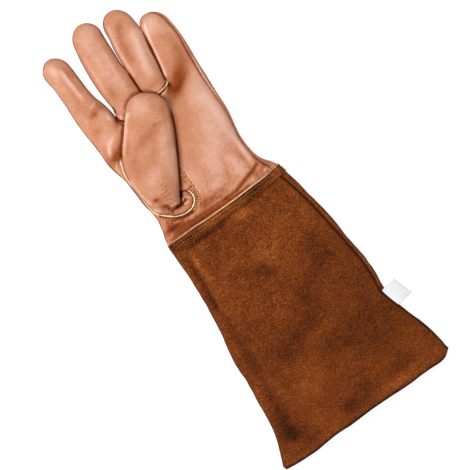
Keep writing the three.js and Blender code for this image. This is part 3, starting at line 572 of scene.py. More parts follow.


# The leather's hollows and swellings seen from above. deep is how far one presses in, in millimetres, below 0
# for a swelling, and tone is painted light: painted shade below 0 in the hollows, creases and gaps, and
# painted highlights above 0 on the swellings, ridges and lit patches
handFolds = [
    # the valley at the little finger's base, with painted shade in it
    spot(33, 112.2, 3, 16, 7.4, 36, -0.6, bow=0.004),
    spot(25, 104.5, 0.9, 9, 6.5, 44, -0.34),
    crease([(10, 109.6), (13, 109.7), (16, 110.2), (18.9, 111.5), (20.8, 112.8), (22.3, 114.5)],
           0.4, 0.55, -1, fade=0.06),
    crease([(11.4, 108.1), (14.9, 108.4), (18.8, 109.6), (21.8, 111.2), (23.3, 113.3), (24.1, 116)],
           -0.3, 0.7, 0.55, fade=0.08),
    spot(40, 130, 0.5, 12, 7, 30, -0.22),
    # the shade in which the thumb lies
    crease([(-21.6, 28), (-15.2, 40.5), (-9.2, 51), (-3.5, 61), (2.4, 71.6), (7.3, 81.8), (10.6, 90.4),
            (12.8, 96.5)], 0.9, 0.9, -1, fade=0.12),
    crease([(-18.5, 31.5), (-12.6, 42), (-6.6, 52.3), (-0.8, 62.3), (5.1, 72.6), (10.6, 82.7), (14.5, 92)],
           0.3, 2, -0.14, fade=0.1),
    crease([(-22.5, 28), (-17.8, 36), (-13.6, 43.5), (-9.5, 50)], 0.2, 1.4, -0.25, fade=0.2),
    crease([(-48.6, 81.9), (-44.4, 86.8), (-40.2, 92.1), (-34.9, 98.3), (-30.1, 104.3), (-25.6, 109.8),
            (-21.8, 114.4)], 0.8, 1.3, -0.5, fade=0.08),
    spot(-49.3, 87, 1.1, 8.5, 5, 14, -0.46),
    spot(-51, 83, 0.2, 4.5, 3.6, 40, -0.28),
    spot(-50.5, 164, 0, 13, 6, 91, 0.13),
    spot(-42, 92, 0.7, 9, 2.8, 53, -0.26),
    spot(-52, 93, -0.7, 6, 2, 55, 0.5),
    spot(-46, 99.3, -0.4, 5, 2.4, 30, 0.3),
    crease([(-31.6, 122), (-31.4, 116), (-30.9, 112.4), (-28.9, 109.7), (-26.4, 107.8), (-24.5, 106.8)],
           0.3, 0.6, -0.85, fade=0.08),
    crease([(-28.7, 124.5), (-28.3, 120.5), (-27.9, 117.4)], 0.1, 0.7, -0.8, fade=0.2),
    spot(-27.9, 112.4, -0.4, 3.4, 1.6, -50, 0.45),
    spot(-36.2, 117.4, -0.4, 3.4, 1.2, 95, 0.5),
    spot(-33, 109.5, 0.3, 6, 3, 60, -0.25),
    crease([(-22, 114.8), (-20, 117.2), (-16, 120.2), (-12, 122), (-8, 122.8), (-4, 122.4), (0, 120.9),
            (4, 118.2), (8, 114), (10.4, 110.3), (11.8, 106.5)], 0.4, 1.2, -0.42, fade=0.08),
    spot(16, 99, 0.3, 10, 4, 70, -0.15),
    # the wrist
    crease([(-54, 3.4), (-40, 3.6), (-20, 3.4), (0, 3.2), (16, 3.6)], 0.9, 2.4, -0.45, fade=0.2),
    crease([(4, 3.4), (14, 3.6), (20, 4.2), (26, 6), (30, 7.4), (35, 8.9), (40, 10.5), (45, 12.5),
            (49.6, 14.2)], 1, 1.6, -0.62, fade=0.09),
    crease([(-55, 0.3), (-20, 0.2), (0, 0.3), (20, 0.6), (34, 1.5)], 0.3, 1.1, -0.7, fade=0.05),
    crease([(32, 1.2), (40, 1.6), (47, 2.3), (54, 3.3)], 0.2, 0.5, -0.5, fade=0.1),
    spot(-44.5, 12, 0.3, 5, 3.4, 10, -0.45),
    spot(-46, 6, 0, 7, 3, 5, -0.22),
    spot(-30, 1.6, 0, 24, 2.2, 0, -0.2),
    spot(4, 8.6, 0.2, 9, 2.4, 0, -0.22),
    spot(45, 6, 0.2, 10, 3.6, 8, -0.32),
    spot(49.3, 4.8, -0.4, 2.6, 0.9, 40, 0.5),
    spot(36.3, 4.3, -0.4, 2.2, 1, 5, 0.4),
    crease([(48.4, 25), (49.4, 18), (51.2, 12), (52.6, 7)], 0.2, 2, -0.45, fade=0.2),
    spot(32, 17, -0.3, 7, 4.6, 55, 0.2),
    spot(31.5, 28, -0.2, 7, 4.6, 90, 0.22),
    spot(20.5, 20, 0.3, 6, 2.4, 80, -0.14),
    crease([(-52.8, 32), (-53.6, 42), (-54.1, 51), (-54.2, 60)], 0.3, 0.8, -0.6),
    crease([(12, 8.5), (24, 9.5), (33, 12), (40, 15.5)], -0.7, 1.8, 0.12),
    spot(-42, 7, 0.8, 13, 3.4, -4, -0.55),
    spot(-5, 11, 0.5, 26, 3, 3, -0.3),
    crease([(-51, 9), (-45, 8.2), (-38, 8.8), (-31, 8)], 0.7, 0.9, -0.3),
    crease([(-50, 4.4), (-44, 5.2), (-38, 4.6)], -0.6, 0.9, 0.35),
    crease([(-14, 7.4), (-4, 8), (8, 7.2)], 0.45, 0.9, -0.2),
    crease([(50.5, 16), (52.8, 10), (55, 5), (57.5, 2.4)], 0.5, 0.9, -0.5),
    # the palm
    spot(44, 29, -0.8, 13, 1.9, 93, 0.4),
    spot(39.6, 24, 0.5, 9, 1.8, 93, -0.14),
    spot(36, 86, -0.4, 17, 9, 80, 0.16),
    spot(43.5, 68, -0.3, 30, 4.5, 87, 0.3),
    spot(28, 55, -0.3, 20, 11, 80, 0.12),
    spot(5, 30, 0, 7, 6, 80, -0.14),
    spot(2, 20, 0.4, 8, 2.4, 75, -0.1),
    spot(24, 30, 0.4, 9, 2.2, 84, -0.1),
    # the index finger
    crease([(-47.6, 180), (-46.8, 172), (-46.5, 163.6), (-45.6, 148.7), (-44.4, 139)],
           -0.8, 1.7, 0.32, fade=0.2),
    crease([(-43.8, 176), (-43.1, 163), (-42.2, 148)], 0.5, 2.2, -0.12, fade=0.2),
    spot(-50.2, 157, 0.4, 18, 1.8, 91, -0.1),
    spot(-53, 178, -0.2, 6, 3.4, 100, 0.3),
    spot(-44.5, 172, 0, 8, 2.6, 115, -0.15),
    spot(-54, 117, 0, 8, 4, 90, -0.12),
    spot(-44.4, 127.4, 0.6, 5, 3.2, 15, -0.38),
    spot(-36, 129, 0.3, 3.4, 2.4, 110, -0.28),
    spot(-37.8, 134, 0.3, 2.4, 1.4, 110, -0.25),
    crease([(-37, 136.5), (-40.5, 134), (-45, 133.6)], -0.6, 1.2, 0.2),
    spot(-54, 124, -0.2, 7, 2.6, 85, 0.1),
    spot(-50, 113, 0.2, 6, 4, 20, -0.16),
    spot(-47, 109, -0.4, 9, 4.5, 60, 0.1),
    spot(-57, 87, 0.6, 8, 2.2, 80, -0.15),
    # the middle and ring fingers
    spot(-16, 166, -0.4, 26, 6, 88, 0.16),
    spot(-8.6, 160, -0.2, 22, 2.6, 89, 0.16),
    crease([(-24, 178), (-25.2, 163.6), (-25.6, 148.7), (-26.2, 134)], -0.2, 1.3, 0.16, fade=0.2),
    spot(-21.5, 132.5, 0.6, 9, 4, 90, -0.2),
    spot(-11, 135, -0.2, 10, 4.5, 90, 0.14),
    crease([(-0.7, 119), (-0.6, 130), (-0.4, 140.5)], 0.2, 0.8, -0.8, fade=0.08),
    crease([(24, 182.5), (17, 178.5), (12.5, 172), (9.8, 163.6), (8, 150), (7.5, 138)],
           0.6, 3.6, -0.26, fade=0.25),
    crease([(24, 174), (22, 163.6), (18.6, 148.7), (16, 134), (14, 122)], -0.6, 4.2, 0.26, fade=0.2),
    crease([(9, 186), (5.6, 176), (3.9, 163.6), (2.8, 148.7), (2.4, 132)], -0.2, 1.2, 0.26, fade=0.1),
    # painted shade in the gap between the ring and the little finger, and a painted highlight on the edge
    # beside it
    crease([(22.7, 116.8), (23.1, 121), (24.3, 128), (25.4, 134), (27.4, 148.7), (29.3, 158.7),
            (30, 163.8)], 0.3, 0.8, -0.7, fade=0.05),
    spot(25, 146, 0, 14, 1.4, 82, 0.24),
    spot(20, 151, 0, 9, 4, 75, 0.14),
    spot(-13, 186, 0, 8, 6, 80, 0.12),
    spot(38, 130, 0, 8, 5, 80, 0.16),
    spot(40, 152, 0, 8, 5, 80, -0.14),
    spot(15, 36, 0, 12, 9, 60, 0.1),
    spot(38, 88, 0, 14, 7, 85, 0.08),
    spot(-33, 101.5, 0.2, 5, 1.8, 52, -0.25),
    crease([(24.3, 117), (25, 121), (27.8, 133.8), (30.1, 148.7), (33.7, 163.6), (36.5, 169)],
           -0.3, 1.1, 0.6, fade=0.1),
    spot(12, 119, 0.5, 9, 2.6, 8, -0.14),
    # the little finger
    spot(40, 163, -0.3, 10, 8, 85, 0.22),
    spot(47, 140, 0.4, 12, 3, 88, -0.12),
]
# the seam's and the side's tones are painted shade: in the seams' tuck and on the steep sides
handRelief = {
    "tuckDeep": 1.0, "tuckWide": 1.4, "slow": 0.4, "slowSize": 15, "quick": 0.07, "quickSize": 4.4,
    "seamShade": 0.85, "seamWide": 0.8, "sideShade": 0.8, "sideFrom": 0.42, "sideTo": 0.82, "unevenTone": 0.07,
    "faintX": 40, "faintFrom": 92, "faintTo": 106, "faintShare": 0.3,
    "crumple": 0.10, "crumpleTone": 0.09, "crumpleSize": 1.9, "crumpleFrom": 12, "crumpleTo": 46,
}
backRelief = dict(handRelief, seamShade=0.3, sideShade=0.35)
# Heights above the floor, and distances from a seam, over which the relief and its tone come in, and how the
# noise is stretched and leans
reliefReach = {
    "facing": 0.5, "paintBelow": 4, "calm": 3, "floorFrom": 0.05, "floorTo": 3,
    "crumpleFrom": 3, "crumpleTo": 8, "sideFrom": 1.5, "sideTo": 5,
    "lean": 0.6, "crumpleLeanX": 0.5, "crumpleLeanY": 0.3, "crumpleStretch": 1.4,
}


def reliefOf(points, normals, edge, folds, relief, seed):
    # the way along the normal and the tone: seams tuck in with painted shade in the tuck, folds press in from
    # above with their painted shade and highlights, slow noise between, and steep sides get painted shade
    x, y, z = points.T
    reach, dents = reliefReach, form["dentFloor"]
    facing = np.clip(normals[:, 2], 0, 1)
    upper = smooth(z, dents, dents + form["dentFade"]) * smooth(facing, 0, reach["facing"])
    pressed, painted = foldsAt(x, y, folds)
    pressed = pressed * upper
    painted = painted * smooth(z, dents - reach["paintBelow"], dents)
    lean = reach["lean"] * z
    uneven = (relief["slow"] * softNoise(x + z, y - lean, relief["slowSize"], seed)
              + relief["quick"] * softNoise(x - z, y + lean, relief["quickSize"], seed + 1))
    crumple = 0 * x
    if "crumple" in relief:
        u = x + reach["crumpleLeanX"] * y
        v = reach["crumpleStretch"] * y - reach["crumpleLeanY"] * x
        crumple = (softNoise(u, v, relief["crumpleSize"], seed + 2)
                   * (1 - smooth(y, relief["crumpleFrom"], relief["crumpleTo"])))
        uneven = uneven + relief["crumple"] * crumple
    calm, floor = smooth(edge, 0, reach["calm"]), smooth(z, reach["floorFrom"], reach["floorTo"])
    # on the little finger's side the seam is faint below the fingers
    seam = 1
    if "faintX" in relief:
        plain = mix(relief["faintShare"], 1, smooth(y, relief["faintFrom"], relief["faintTo"]))
        seam = np.where(x > relief["faintX"], plain, 1)
    tuck = relief["tuckDeep"] * seam * bell(edge, 0, relief["tuckWide"])
    move = -tuck * floor - pressed + uneven * calm * floor
    # sides that turn away from facing up get painted shade
    side = smooth(1 - facing, relief["sideFrom"], relief["sideTo"])
    # the tone takes the folds' painted shade and highlights, and painted shade in the seams' tuck and on
    # steep sides
    tone = (painted + relief["unevenTone"] * uneven / (relief["slow"] + relief["quick"])
            - relief["seamShade"] * seam * bell(edge, 0, relief["seamWide"])
            + relief.get("crumpleTone", 0) * crumple * smooth(z, reach["crumpleFrom"], reach["crumpleTo"])
            - relief["sideShade"] * side * smooth(z, reach["sideFrom"], reach["sideTo"]))
    return move, np.clip(0.5 + 0.5 * tone, 0, 1)


def leatherPanel(name, grids, folds, relief, seed=3, cut=None):
    # a node's sheet with its folds, with a wall; cut may take faces out of it
    points, edge, faces = weld(grids)
    normals = sheetNormals(points, faces)
    move, tone = reliefOf(points, normals, edge, folds, relief, seed)
    points = points + normals * move[:, None]
    points[:, 2] = np.maximum(points[:, 2], 0.0)
    if cut is not None:
        points, tone, faces = cut(points, tone, faces)
    piece = makeObject(name, points, faces, leather, (name,), {"tone": tone})
    addWall(piece, form["leatherWall"])
    return points, faces


# Materials are made first, so that the pieces can take them

def linear(red, green, blue):
    # a colour given as 0 to 255 on screen, as the renderer's linear values
    parts = [value / 255 for value in (red, green, blue)]
    return tuple(p / 12.92 if p <= 0.04045 else ((p + 0.055) / 1.055) ** 2.4 for p in parts) + (1.0,)


class Net:
    # the nodes of one material or node group, with short ways to add to them
    def __init__(self, tree):
        self.nodes = tree.nodes
        self.links = tree.links

    def put(self, socket, value):
        # a number or a colour is set on the socket, and another node's output is linked to it
        if isinstance(value, (int, float, tuple)):
            socket.default_value = value
        else:
            self.links.new(value, socket)

    def fill(self, node, inputs):
        for key, value in inputs.items():
            self.put(node.inputs[key], value)
        return node

    def add(self, kind, inputs=None):
        return self.fill(self.nodes.new("ShaderNode" + kind), inputs or {})

    def noise(self, vector, scale, detail, rough, distortion=0.0):
        look = {"Scale": scale, "Detail": detail, "Roughness": rough, "Distortion": distortion}
        return self.add("TexNoise", dict(look, Vector=vector)).outputs["Fac"]

    def spread(self, value, fromLow, fromHigh, toLow, toHigh):
        # a value between the first two numbers, carried over to lie between the last two
        ends = {"From Min": fromLow, "From Max": fromHigh, "To Min": toLow, "To Max": toHigh}
        return self.add("MapRange", dict(ends, Value=value)).outputs["Result"]

    def combine(self, kind, a, b):
        node = self.fill(self.add("Math"), {0: a, 1: b})
        node.operation = kind
        return node.outputs[0]

    def mixValue(self, share, a, b):
        return self.add("Mix", {0: share, 2: a, 3: b}).outputs[0]

    def mixColor(self, share, a, b):
        node = self.add("Mix")
        node.data_type = "RGBA"
        return self.fill(node, {0: share, 6: a, 7: b}).outputs[2]

    def group(self, group, inputs):
        node = self.add("Group")
        node.node_tree = group
        return self.fill(node, inputs).outputs[0]

    def clouds(self, vector, slow, quick, quickShare):
        return self.group(mottle, {"Vector": vector, "Slow": slow, "Quick": quick, "Quick Share": quickShare})

    def grain(self, vector, cells, wrinkle):
        return self.group(leatherGrain, {"Vector": vector, "Cells Per Metre": cells, "Wrinkle": wrinkle})

    def bump(self, shader, height, distance, strength, under=None):
        node = self.add("Bump", {"Strength": strength, "Distance": distance, "Height": height})
        if under is not None:
            self.put(node.inputs["Normal"], under)
        self.put(shader.inputs["Normal"], node.outputs["Normal"])
        return node.outputs["Normal"]

    def tone(self, clouds=()):
        # the tone at a point: 0 the darkest, 0.5 plain, 1 the palest; it carries painted shade and
        # highlights, and
        # # each cloud is a value from 0 to 1 and how far it moves the tone up and down
        node = self.add("Attribute")
        node.attribute_name = "tone"
        tone = node.outputs["Fac"]
        for value, amount in clouds:
            tone = self.combine("ADD", tone, self.spread(value, 0, 1, -amount, amount))
        return tone

    def ramp(self, value, stops):
        # colours along a value, each stop a place from 0 to 1 and a colour as seen on screen
        node = self.add("ValToRGB", {"Fac": value})
        elements = node.color_ramp.elements
        while len(elements) < len(stops):
            elements.new(0.5)
        for element, (place, color) in zip(elements, stops):
            element.position = place
            element.color = linear(*color)
        return node.outputs["Color"]


def newGroup(name, inputs, output):
    # a node group that takes a vector and some numbers and gives one number
    group = bpy.data.node_groups.new(name, "ShaderNodeTree")
    group.interface.new_socket("Vector", in_out="INPUT", socket_type="NodeSocketVector")
    for key, value in inputs.items():
        socket = group.interface.new_socket(key, in_out="INPUT", socket_type="NodeSocketFloat")
        socket.default_value = value
    group.interface.new_socket(output, in_out="OUTPUT", socket_type="NodeSocketFloat")
    net = Net(group)
    given = net.nodes.new("NodeGroupInput").outputs
    return group, net, given, net.nodes.new("NodeGroupOutput").inputs[output]


def grainGroup():
    # fine leather grain: small cells with soft wrinkles between, as a height
    inputs = {"Cells Per Metre": 1100.0, "Wrinkle": 0.5}
    group, net, given, height = newGroup("leatherGrain", inputs, "Height")
    cells = net.add("TexVoronoi", {"Vector": given["Vector"], "Scale": given["Cells Per Metre"]})
    cells.feature = "SMOOTH_F1"
    slower = net.combine("MULTIPLY", given["Cells Per Metre"], 0.22)
    wrinkle = net.combine("MULTIPLY", net.noise(given["Vector"], slower, 4, 0.6, 0.8), given["Wrinkle"])
    net.put(height, net.combine("ADD", cells.outputs["Distance"], wrinkle))
    return group


def mottleGroup():
    # cloudy change of tone at two sizes, 0 to 1
    group, net, given, value = newGroup("mottle", {"Slow": 30.0, "Quick": 160.0, "Quick Share": 0.4}, "Value")
    slow = net.noise(given["Vector"], given["Slow"], 3, 0.55, 0.4)
    quick = net.noise(given["Vector"], given["Quick"], 4, 0.6, 0.2)
    net.put(value, net.spread(net.mixValue(given["Quick Share"], slow, quick), 0.3, 0.7, 0, 1))
    return group


leatherGrain, mottle = grainGroup(), mottleGroup()


def newMaterial(name):
    material = bpy.data.materials.new(name)
    material.use_nodes = True
    net = Net(material.node_tree)
    return material, net, net.nodes["Principled BSDF"], net.add("TexCoord").outputs["Object"]


# The leather's colours from the darkest tone to the palest, plain at 0.5: the dark end gives the painted
# shade and the pale end the painted highlights
leatherLook = {
    "stops": [(0.0, (82, 17, 0)), (0.25, (144, 70, 26)), (0.5, (197, 133, 98)), (0.6, (213, 161, 137)),
              (0.75, (231, 189, 172)), (1.0, (252, 226, 218))],
    "cloud": 0.045, "cloudSizes": (42.0, 170.0, 0.4), "speck": 0.06, "speckSizes": (520.0, 1400.0, 0.5),
    "pink": (226, 172, 156), "pinkShare": 0.22, "pinkSize": 26.0, "pinkFrom": 0.4, "pinkTo": 0.7,
    "pinkToneFrom": 0.35, "pinkToneTo": 0.55,
    "roughness": 0.52, "glossier": 0.05, "duller": 0.08, "specular": 0.09,
    "grain": (1100.0, 0.7), "grainDepth": 0.00008, "grainStrength": 0.8,
    "wrinkleSize": 190.0, "wrinkleDepth": 0.00025, "wrinkleStrength": 0.55,
}


def makeLeather():
    look = leatherLook
    material, net, shader, place = newMaterial("tanLeather")
    speck = net.clouds(place, *look["speckSizes"])
    tone = net.tone([(net.clouds(place, *look["cloudSizes"]), look["cloud"]), (speck, look["speck"])])
    # a little pink where the leather isn't dark
    pink = net.noise(place, look["pinkSize"], 2, 0.5)
    pink = net.spread(pink, look["pinkFrom"], look["pinkTo"], 0, look["pinkShare"])
    pink = net.combine("MULTIPLY", pink, net.spread(tone, look["pinkToneFrom"], look["pinkToneTo"], 0, 1))
    net.fill(shader, {
        "Base Color": net.mixColor(pink, net.ramp(tone, look["stops"]), linear(*look["pink"])),
        "Roughness": net.spread(speck, 0, 1, look["roughness"] - look["glossier"],
                                look["roughness"] + look["duller"]),
        "Specular IOR Level": look["specular"],
    })
    wrinkles = net.noise(place, look["wrinkleSize"], 3, 0.6, 0.6)
    first = net.bump(shader, wrinkles, look["wrinkleDepth"], look["wrinkleStrength"])
    net.bump(shader, net.grain(place, *look["grain"]), look["grainDepth"], look["grainStrength"], first)
    return material


# The suede's colours from the darkest tone to the palest: the ends give the painted shade and highlights as
# well as the nap's own dark and pale
suedeLook = {
    "stops": [(0.0, (36, 15, 7)), (0.25, (74, 34, 13)), (0.5, (115, 54, 18)), (0.75, (152, 80, 32)),
              (1.0, (204, 130, 72))],
    "cloud": 0.11, "cloudSizes": (28.0, 90.0, 0.5),
    "nap": 0.09, "napSizes": (110.0, 420.0, 0.6), "napDepth": 0.0005, "napStrength": 0.5,
    "brushTurn": 35, "brushStretch": 2.6,
    "fibre": 0.34, "fibreSizes": (720.0, 1300.0, 0.5), "fibreDepth": 0.0006, "fibreStrength": 0.8,
    "fibreLow": 0.95, "fibreHigh": 1.25, "fibreFrom": -0.15, "fibreTo": -0.05,
    "gold": (196, 132, 72), "goldFrom": 0.75, "goldShare": 0.22,
    "roughness": 0.95, "specular": 0.08, "sheen": 0.12, "sheenRoughness": 0.5, "sheenTint": (190, 110, 60),
}


def makeSuede():
    look = suedeLook
    material, net, shader, place = newMaterial("brownSuede")
    turn = (0, 0, math.radians(look["brushTurn"]))
    brushed = net.add("Mapping", {"Vector": place, "Rotation": turn, "Scale": (1, look["brushStretch"], 1)})
    nap = net.clouds(brushed.outputs["Vector"], *look["napSizes"])
    fibre = net.clouds(place, *look["fibreSizes"])
    tone = net.tone([(net.clouds(place, *look["cloudSizes"]), look["cloud"]), (nap, look["nap"])])
    # the fibres show more towards the wrist
    along = net.add("SeparateXYZ", {"Vector": place}).outputs["Y"]
    coarse = net.spread(along, look["fibreFrom"], look["fibreTo"], look["fibreLow"], look["fibreHigh"])
    hairs = net.combine("MULTIPLY", net.spread(fibre, 0, 1, -look["fibre"], look["fibre"]), coarse)
    tone = net.combine("ADD", tone, hairs)
    specks = net.spread(fibre, look["goldFrom"], 1, 0, look["goldShare"])
    net.fill(shader, {
        "Base Color": net.mixColor(specks, net.ramp(tone, look["stops"]), linear(*look["gold"])),
        "Roughness": look["roughness"], "Specular IOR Level": look["specular"], "Sheen Weight": look["sheen"],
        "Sheen Roughness": look["sheenRoughness"], "Sheen Tint": linear(*look["sheenTint"]),
    })
    first = net.bump(shader, nap, look["napDepth"], look["napStrength"])
    net.bump(shader, fibre, look["fibreDepth"], look["fibreStrength"], first)
    return material


pipingLook = {
    "dark": (250, 210, 152), "light": (255, 244, 216), "sizes": (120.0, 700.0, 0.5), "gold": (214, 142, 78),
    "roughness": 0.5, "specular": 0.1, "grain": (1500.0, 0.6), "grainDepth": 0.0001, "grainStrength": 0.8,
}


def makePiping():
    # cream leather that turns gold where its tone is low
    look = pipingLook
    material, net, shader, place = newMaterial("creamPiping")
    cream = net.mixColor(net.clouds(place, *look["sizes"]), linear(*look["dark"]), linear(*look["light"]))
    net.fill(shader, {
        "Base Color": net.mixColor(net.spread(net.tone(), 0, 0.5, 1, 0), cream, linear(*look["gold"])),
        "Roughness": look["roughness"], "Specular IOR Level": look["specular"],
    })
    net.bump(shader, net.grain(place, *look["grain"]), look["grainDepth"], look["grainStrength"])
    return material


threadLook = {
    "scale": 900.0, "distortion": 2.0, "depth": 0.0001, "strength": 0.6,
    "shader": {"Roughness": 0.7, "Specular IOR Level": 0.08},
}
threadColors = {
    "gold": {"light": (252, 200, 140), "dark": (196, 132, 72)},
    "band": {"light": (206, 144, 84), "dark": (146, 92, 46)},
    "cream": {"light": (246, 208, 160), "dark": (206, 150, 96)},
    "brown": {"light": (168, 112, 62), "dark": (108, 62, 28)},
}
tapeLook = {
    "scale": 700.0, "distortion": 0.4, "depth": 0.00012, "strength": 0.7, "shader": {"Roughness": 0.8},
    "light": (248, 250, 251), "dark": (232, 236, 238),
}


def makeYarn(name, look):
    # thread or tape: two shades in waves, with the same waves as a bump
    material, net, shader, place = newMaterial(name)
    waves = {"Vector": place, "Scale": look["scale"], "Distortion": look["distortion"]}
    twist = net.add("TexWave", waves).outputs["Fac"]
    net.fill(shader, {"Base Color": net.mixColor(twist, linear(*look["dark"]), linear(*look["light"]))})
    net.fill(shader, look["shader"])
    net.bump(shader, twist, look["depth"], look["strength"])
    return material


leather, suede, piping = makeLeather(), makeSuede(), makePiping()
threads = {}
for kind, colors in threadColors.items():
    threads[kind] = makeYarn(kind + "Thread", dict(threadLook, **colors))
tagCloth = makeYarn("whiteTape", tapeLook)
print("materials made")


# Palm panel with the index and little fingers' fronts

# The thumb's seam on the palm, from the top of its left side round its root
thumbLoop = [
    (-48.8, 81.3), (-52, 71), (-52.9, 62), (-52.5, 51), (-51.8, 42), (-51, 33.5), (-50.1, 28.6),
    (-48, 25.3), (-45.9, 22.9), (-43.5, 20.5), (-41, 18.4), (-38.5, 16.7), (-35, 14.8), (-31, 13.4),
    (-27, 12.9), (-23, 13), (-20, 13.8), (-17, 15.8), (-14.9, 18.5), (-14, 21), (-14, 23.7),
    (-15, 26.4), (-16.6, 28.5), (-19, 30.3),
]
loopLine = splinePoints(thumbLoop, curveSteps["loop"])
panelGrid = {
    "palmRows": 130, "crowding": 0.85, "columns": 38, "backColumns": 26, "fingerRows": 74, "tipRows": 20,
    "cordEdge": 0.3, "evenFrom": 150,
}
thumbHole = {"middle": (-34.0, 46.0), "inset": 2.6, "from": 8, "every": 4}

# Rows of stitches beside the thumb's seam: the leather sinks a little along each row, with painted shade in
# the sunken line
thumbRows = [
    stitchRow("gold", [(-49.6, 23.4), (-46.4, 20), (-42.2, 16.6), (-39.5, 15)],
                      2.4, 0.6, 0.4, 0.3, 0.7, -0.7),
    stitchRow("brown", [(-38, 14.2), (-32, 11.9), (-26.5, 11), (-21.5, 11.3)],
                       2.5, 0.6, 0.34, 0.4, 0.9, -0.8),
    stitchRow("gold", [(-20.5, 11.6), (-16.6, 13.7), (-13.4, 17.6), (-12.4, 22.5), (-12.7, 28),
                       (-12.8, 35), (-12.5, 42.5)], 2.2, 0.8, 0.7, 0.4, 0.7, -0.5),
    stitchRow("gold", [(-47.6, 16.8), (-44.5, 14.6), (-41, 12.6)], 2.7, 0.5, 0.4, 0.3, 0.7, -0.5),
    stitchRow("gold", [(-16, 11.2), (-12.6, 13.8), (-10.4, 17.4), (-9.5, 22), (-9.4, 28), (-9.6, 36),
                       (-9.8, 46)], 2.3, 0.8, 0.7, 0.4, 0.7, -0.35),
    stitchRow("cream", [(-51.4, 27), (-51, 22), (-50.4, 18), (-49, 17)], 2, 0.6, 0.42, 0.2, 0.7, -0.3),
    stitchRow("cream", [(-54.2, 63), (-54.6, 69), (-54.2, 75), (-52.6, 80), (-50.2, 84)],
                       2.1, 0.6, 0.4, 0.3, 0.8, -0.2),
    stitchRow("cream", [(-56.2, 70), (-56.6, 76), (-55.8, 81), (-53.6, 85.5)],
                       2.4, 0.6, 0.36, 0.3, 0.8, -0.2),
]
# Creases and ridges round the thumb's seam: painted shade in the hollows beside the cord, painted highlights
# on the ridges
thumbRims = [
    crease([(-49.2, 24.6), (-46.9, 21.9), (-43.2, 18.6), (-39.3, 15.8), (-34.6, 13.5), (-30, 12),
            (-25, 11.6), (-20.5, 12.2), (-16.6, 14.3), (-13.6, 17.6), (-12.7, 21.5), (-12.9, 24.5)],
           0.4, 0.5, -0.9, fade=0.05),
    crease([(-42, 15), (-37, 12.2), (-31, 10.5), (-25, 9.9), (-19.5, 10.4)], 0.4, 1.1, -0.6, fade=0.12),
    crease([(-8, 19), (-7.6, 26), (-8.2, 33), (-7.9, 41)], -0.35, 0.8, 0.22),
    crease([(-11.2, 26), (-10.9, 30.5), (-11.3, 36)], -0.25, 0.6, 0.15),
    spot(-11.3, 24, 0.2, 11, 2.6, 88, -0.2),
    crease([(-42, 11.3), (-35, 8.9), (-27, 7.7), (-19, 8.2), (-12.5, 11)], -0.4, 0.8, 0.2),
    crease([(-55.4, 66), (-55.7, 73), (-54.9, 79), (-52, 84)], -0.2, 1.6, 0.3),
]
# Holes where the thread goes in, with painted shade in each
thumbHoles = [
    spot(x, y, 0.5, 0.9, 0.75, 90, -0.9)
    for x, y in [(-10, 38.5), (-9.5, 35), (-9, 32), (-8.8, 28.3), (-13, 35), (-14.5, 28.5), (-11.5, 29)]
]


def baseSeam(along):
    return readTable(baseSeamTable, "along", "y", along)


def seamRoom(along):
    # half the room for the cord, which ends under the thumb; past it the two leathers meet
    return mix(form["closedRoom"], form["seamRoom"], smooth(along, form["roomFrom"], form["roomTo"]))


def palmEnds(finger, shares):
    if finger in (1, 2):
        along = finger - 1 + shares
        return np.minimum(baseSeam(along) - seamRoom(along), form["crotch"])
    ends = np.full(shares.shape, form["crotch"])
    if finger == 0:
        ends[0, -1] = min(float(baseSeam(np.array([0.0]))[0]), form["crotch"])
    return ends


def backEnds(_finger, shares):
    return np.full(shares.shape, form["crotch"])


def palmGrid(finger, shares, y):
    points, width = stripAt(finger, shares, y)
    edge = seamDistance(shares, width, (finger == 0, finger == 3))
    if finger in (1, 2):
        edge = np.minimum(edge, y[-1:] - y + panelGrid["cordEdge"])
    return {"points": points, "edge": edge}


def backGrid(finger, shares, y):
    points, width = stripAt(finger, shares, y, True)
    return {"points": points, "edge": seamDistance(shares, width, (finger == 3, finger == 0))}


def fingerGrid(finger, columns, back):
    # a finger's own tube from the crotch to its tip
    places = fingerPlaces(fingers[finger])
    shares = sharesOf(columns)
    points, width = stripPoints(finger, shares, rowsY(places, shares), back)
    return {"points": points, "edge": seamDistance(shares, width)}


def frontGrid(finger):
    # the front of a middle finger from the base seam to its tip
    shares = sharesOf(panelGrid["columns"])
    start = baseSeam(finger - 1 + shares) + seamRoom(finger - 1 + shares)
    even = fingerPlaces(fingers[finger])
    rest = 1 - smooth(even, form["crotch"], panelGrid["evenFrom"])
    y = even[:, None] + rest[:, None] * (start - form["crotch"])
    points, width = stripAt(finger, shares, y)
    edge = np.minimum(seamDistance(shares, width), y - start + panelGrid["cordEdge"])
    return {"points": points, "edge": edge}


def insideLoop(x, y, line):
    # whether points lie inside a closed line, by counting crossings
    x0, y0 = line[:, 0], line[:, 1]
    x1, y1 = np.roll(x0, -1), np.roll(y0, -1)
    crosses = (y0[None] > y[:, None]) != (y1[None] > y[:, None])
    at = x0 + (y[:, None] - y0) * (x1 - x0) / np.where(np.abs(y1 - y0) < 1e-9, 1e-9, y1 - y0)
    return (np.sum(crosses & (x[:, None] < at), axis=1) % 2) == 1


def cutThumbHole(points, tone, faces):
    # faces whose points all lie well inside the thumb's loop are left out
    middle = np.array(thumbHole["middle"])
    away = loopLine - middle
    hole = middle + away * (1 - thumbHole["inset"] / np.linalg.norm(away, axis=1, keepdims=True))
    inside = insideLoop(points[:, 0], points[:, 1], hole[::thumbHole["every"]])
    inside &= points[:, 2] > thumbHole["from"]
    kept = [group[~inside[group].all(axis=1)] for group in faces]
    used = np.zeros(len(points), bool)
    for group in kept:
        used[group] = True
    number = np.cumsum(used) - 1
    return points[used], tone[used], [number[group] for group in kept]


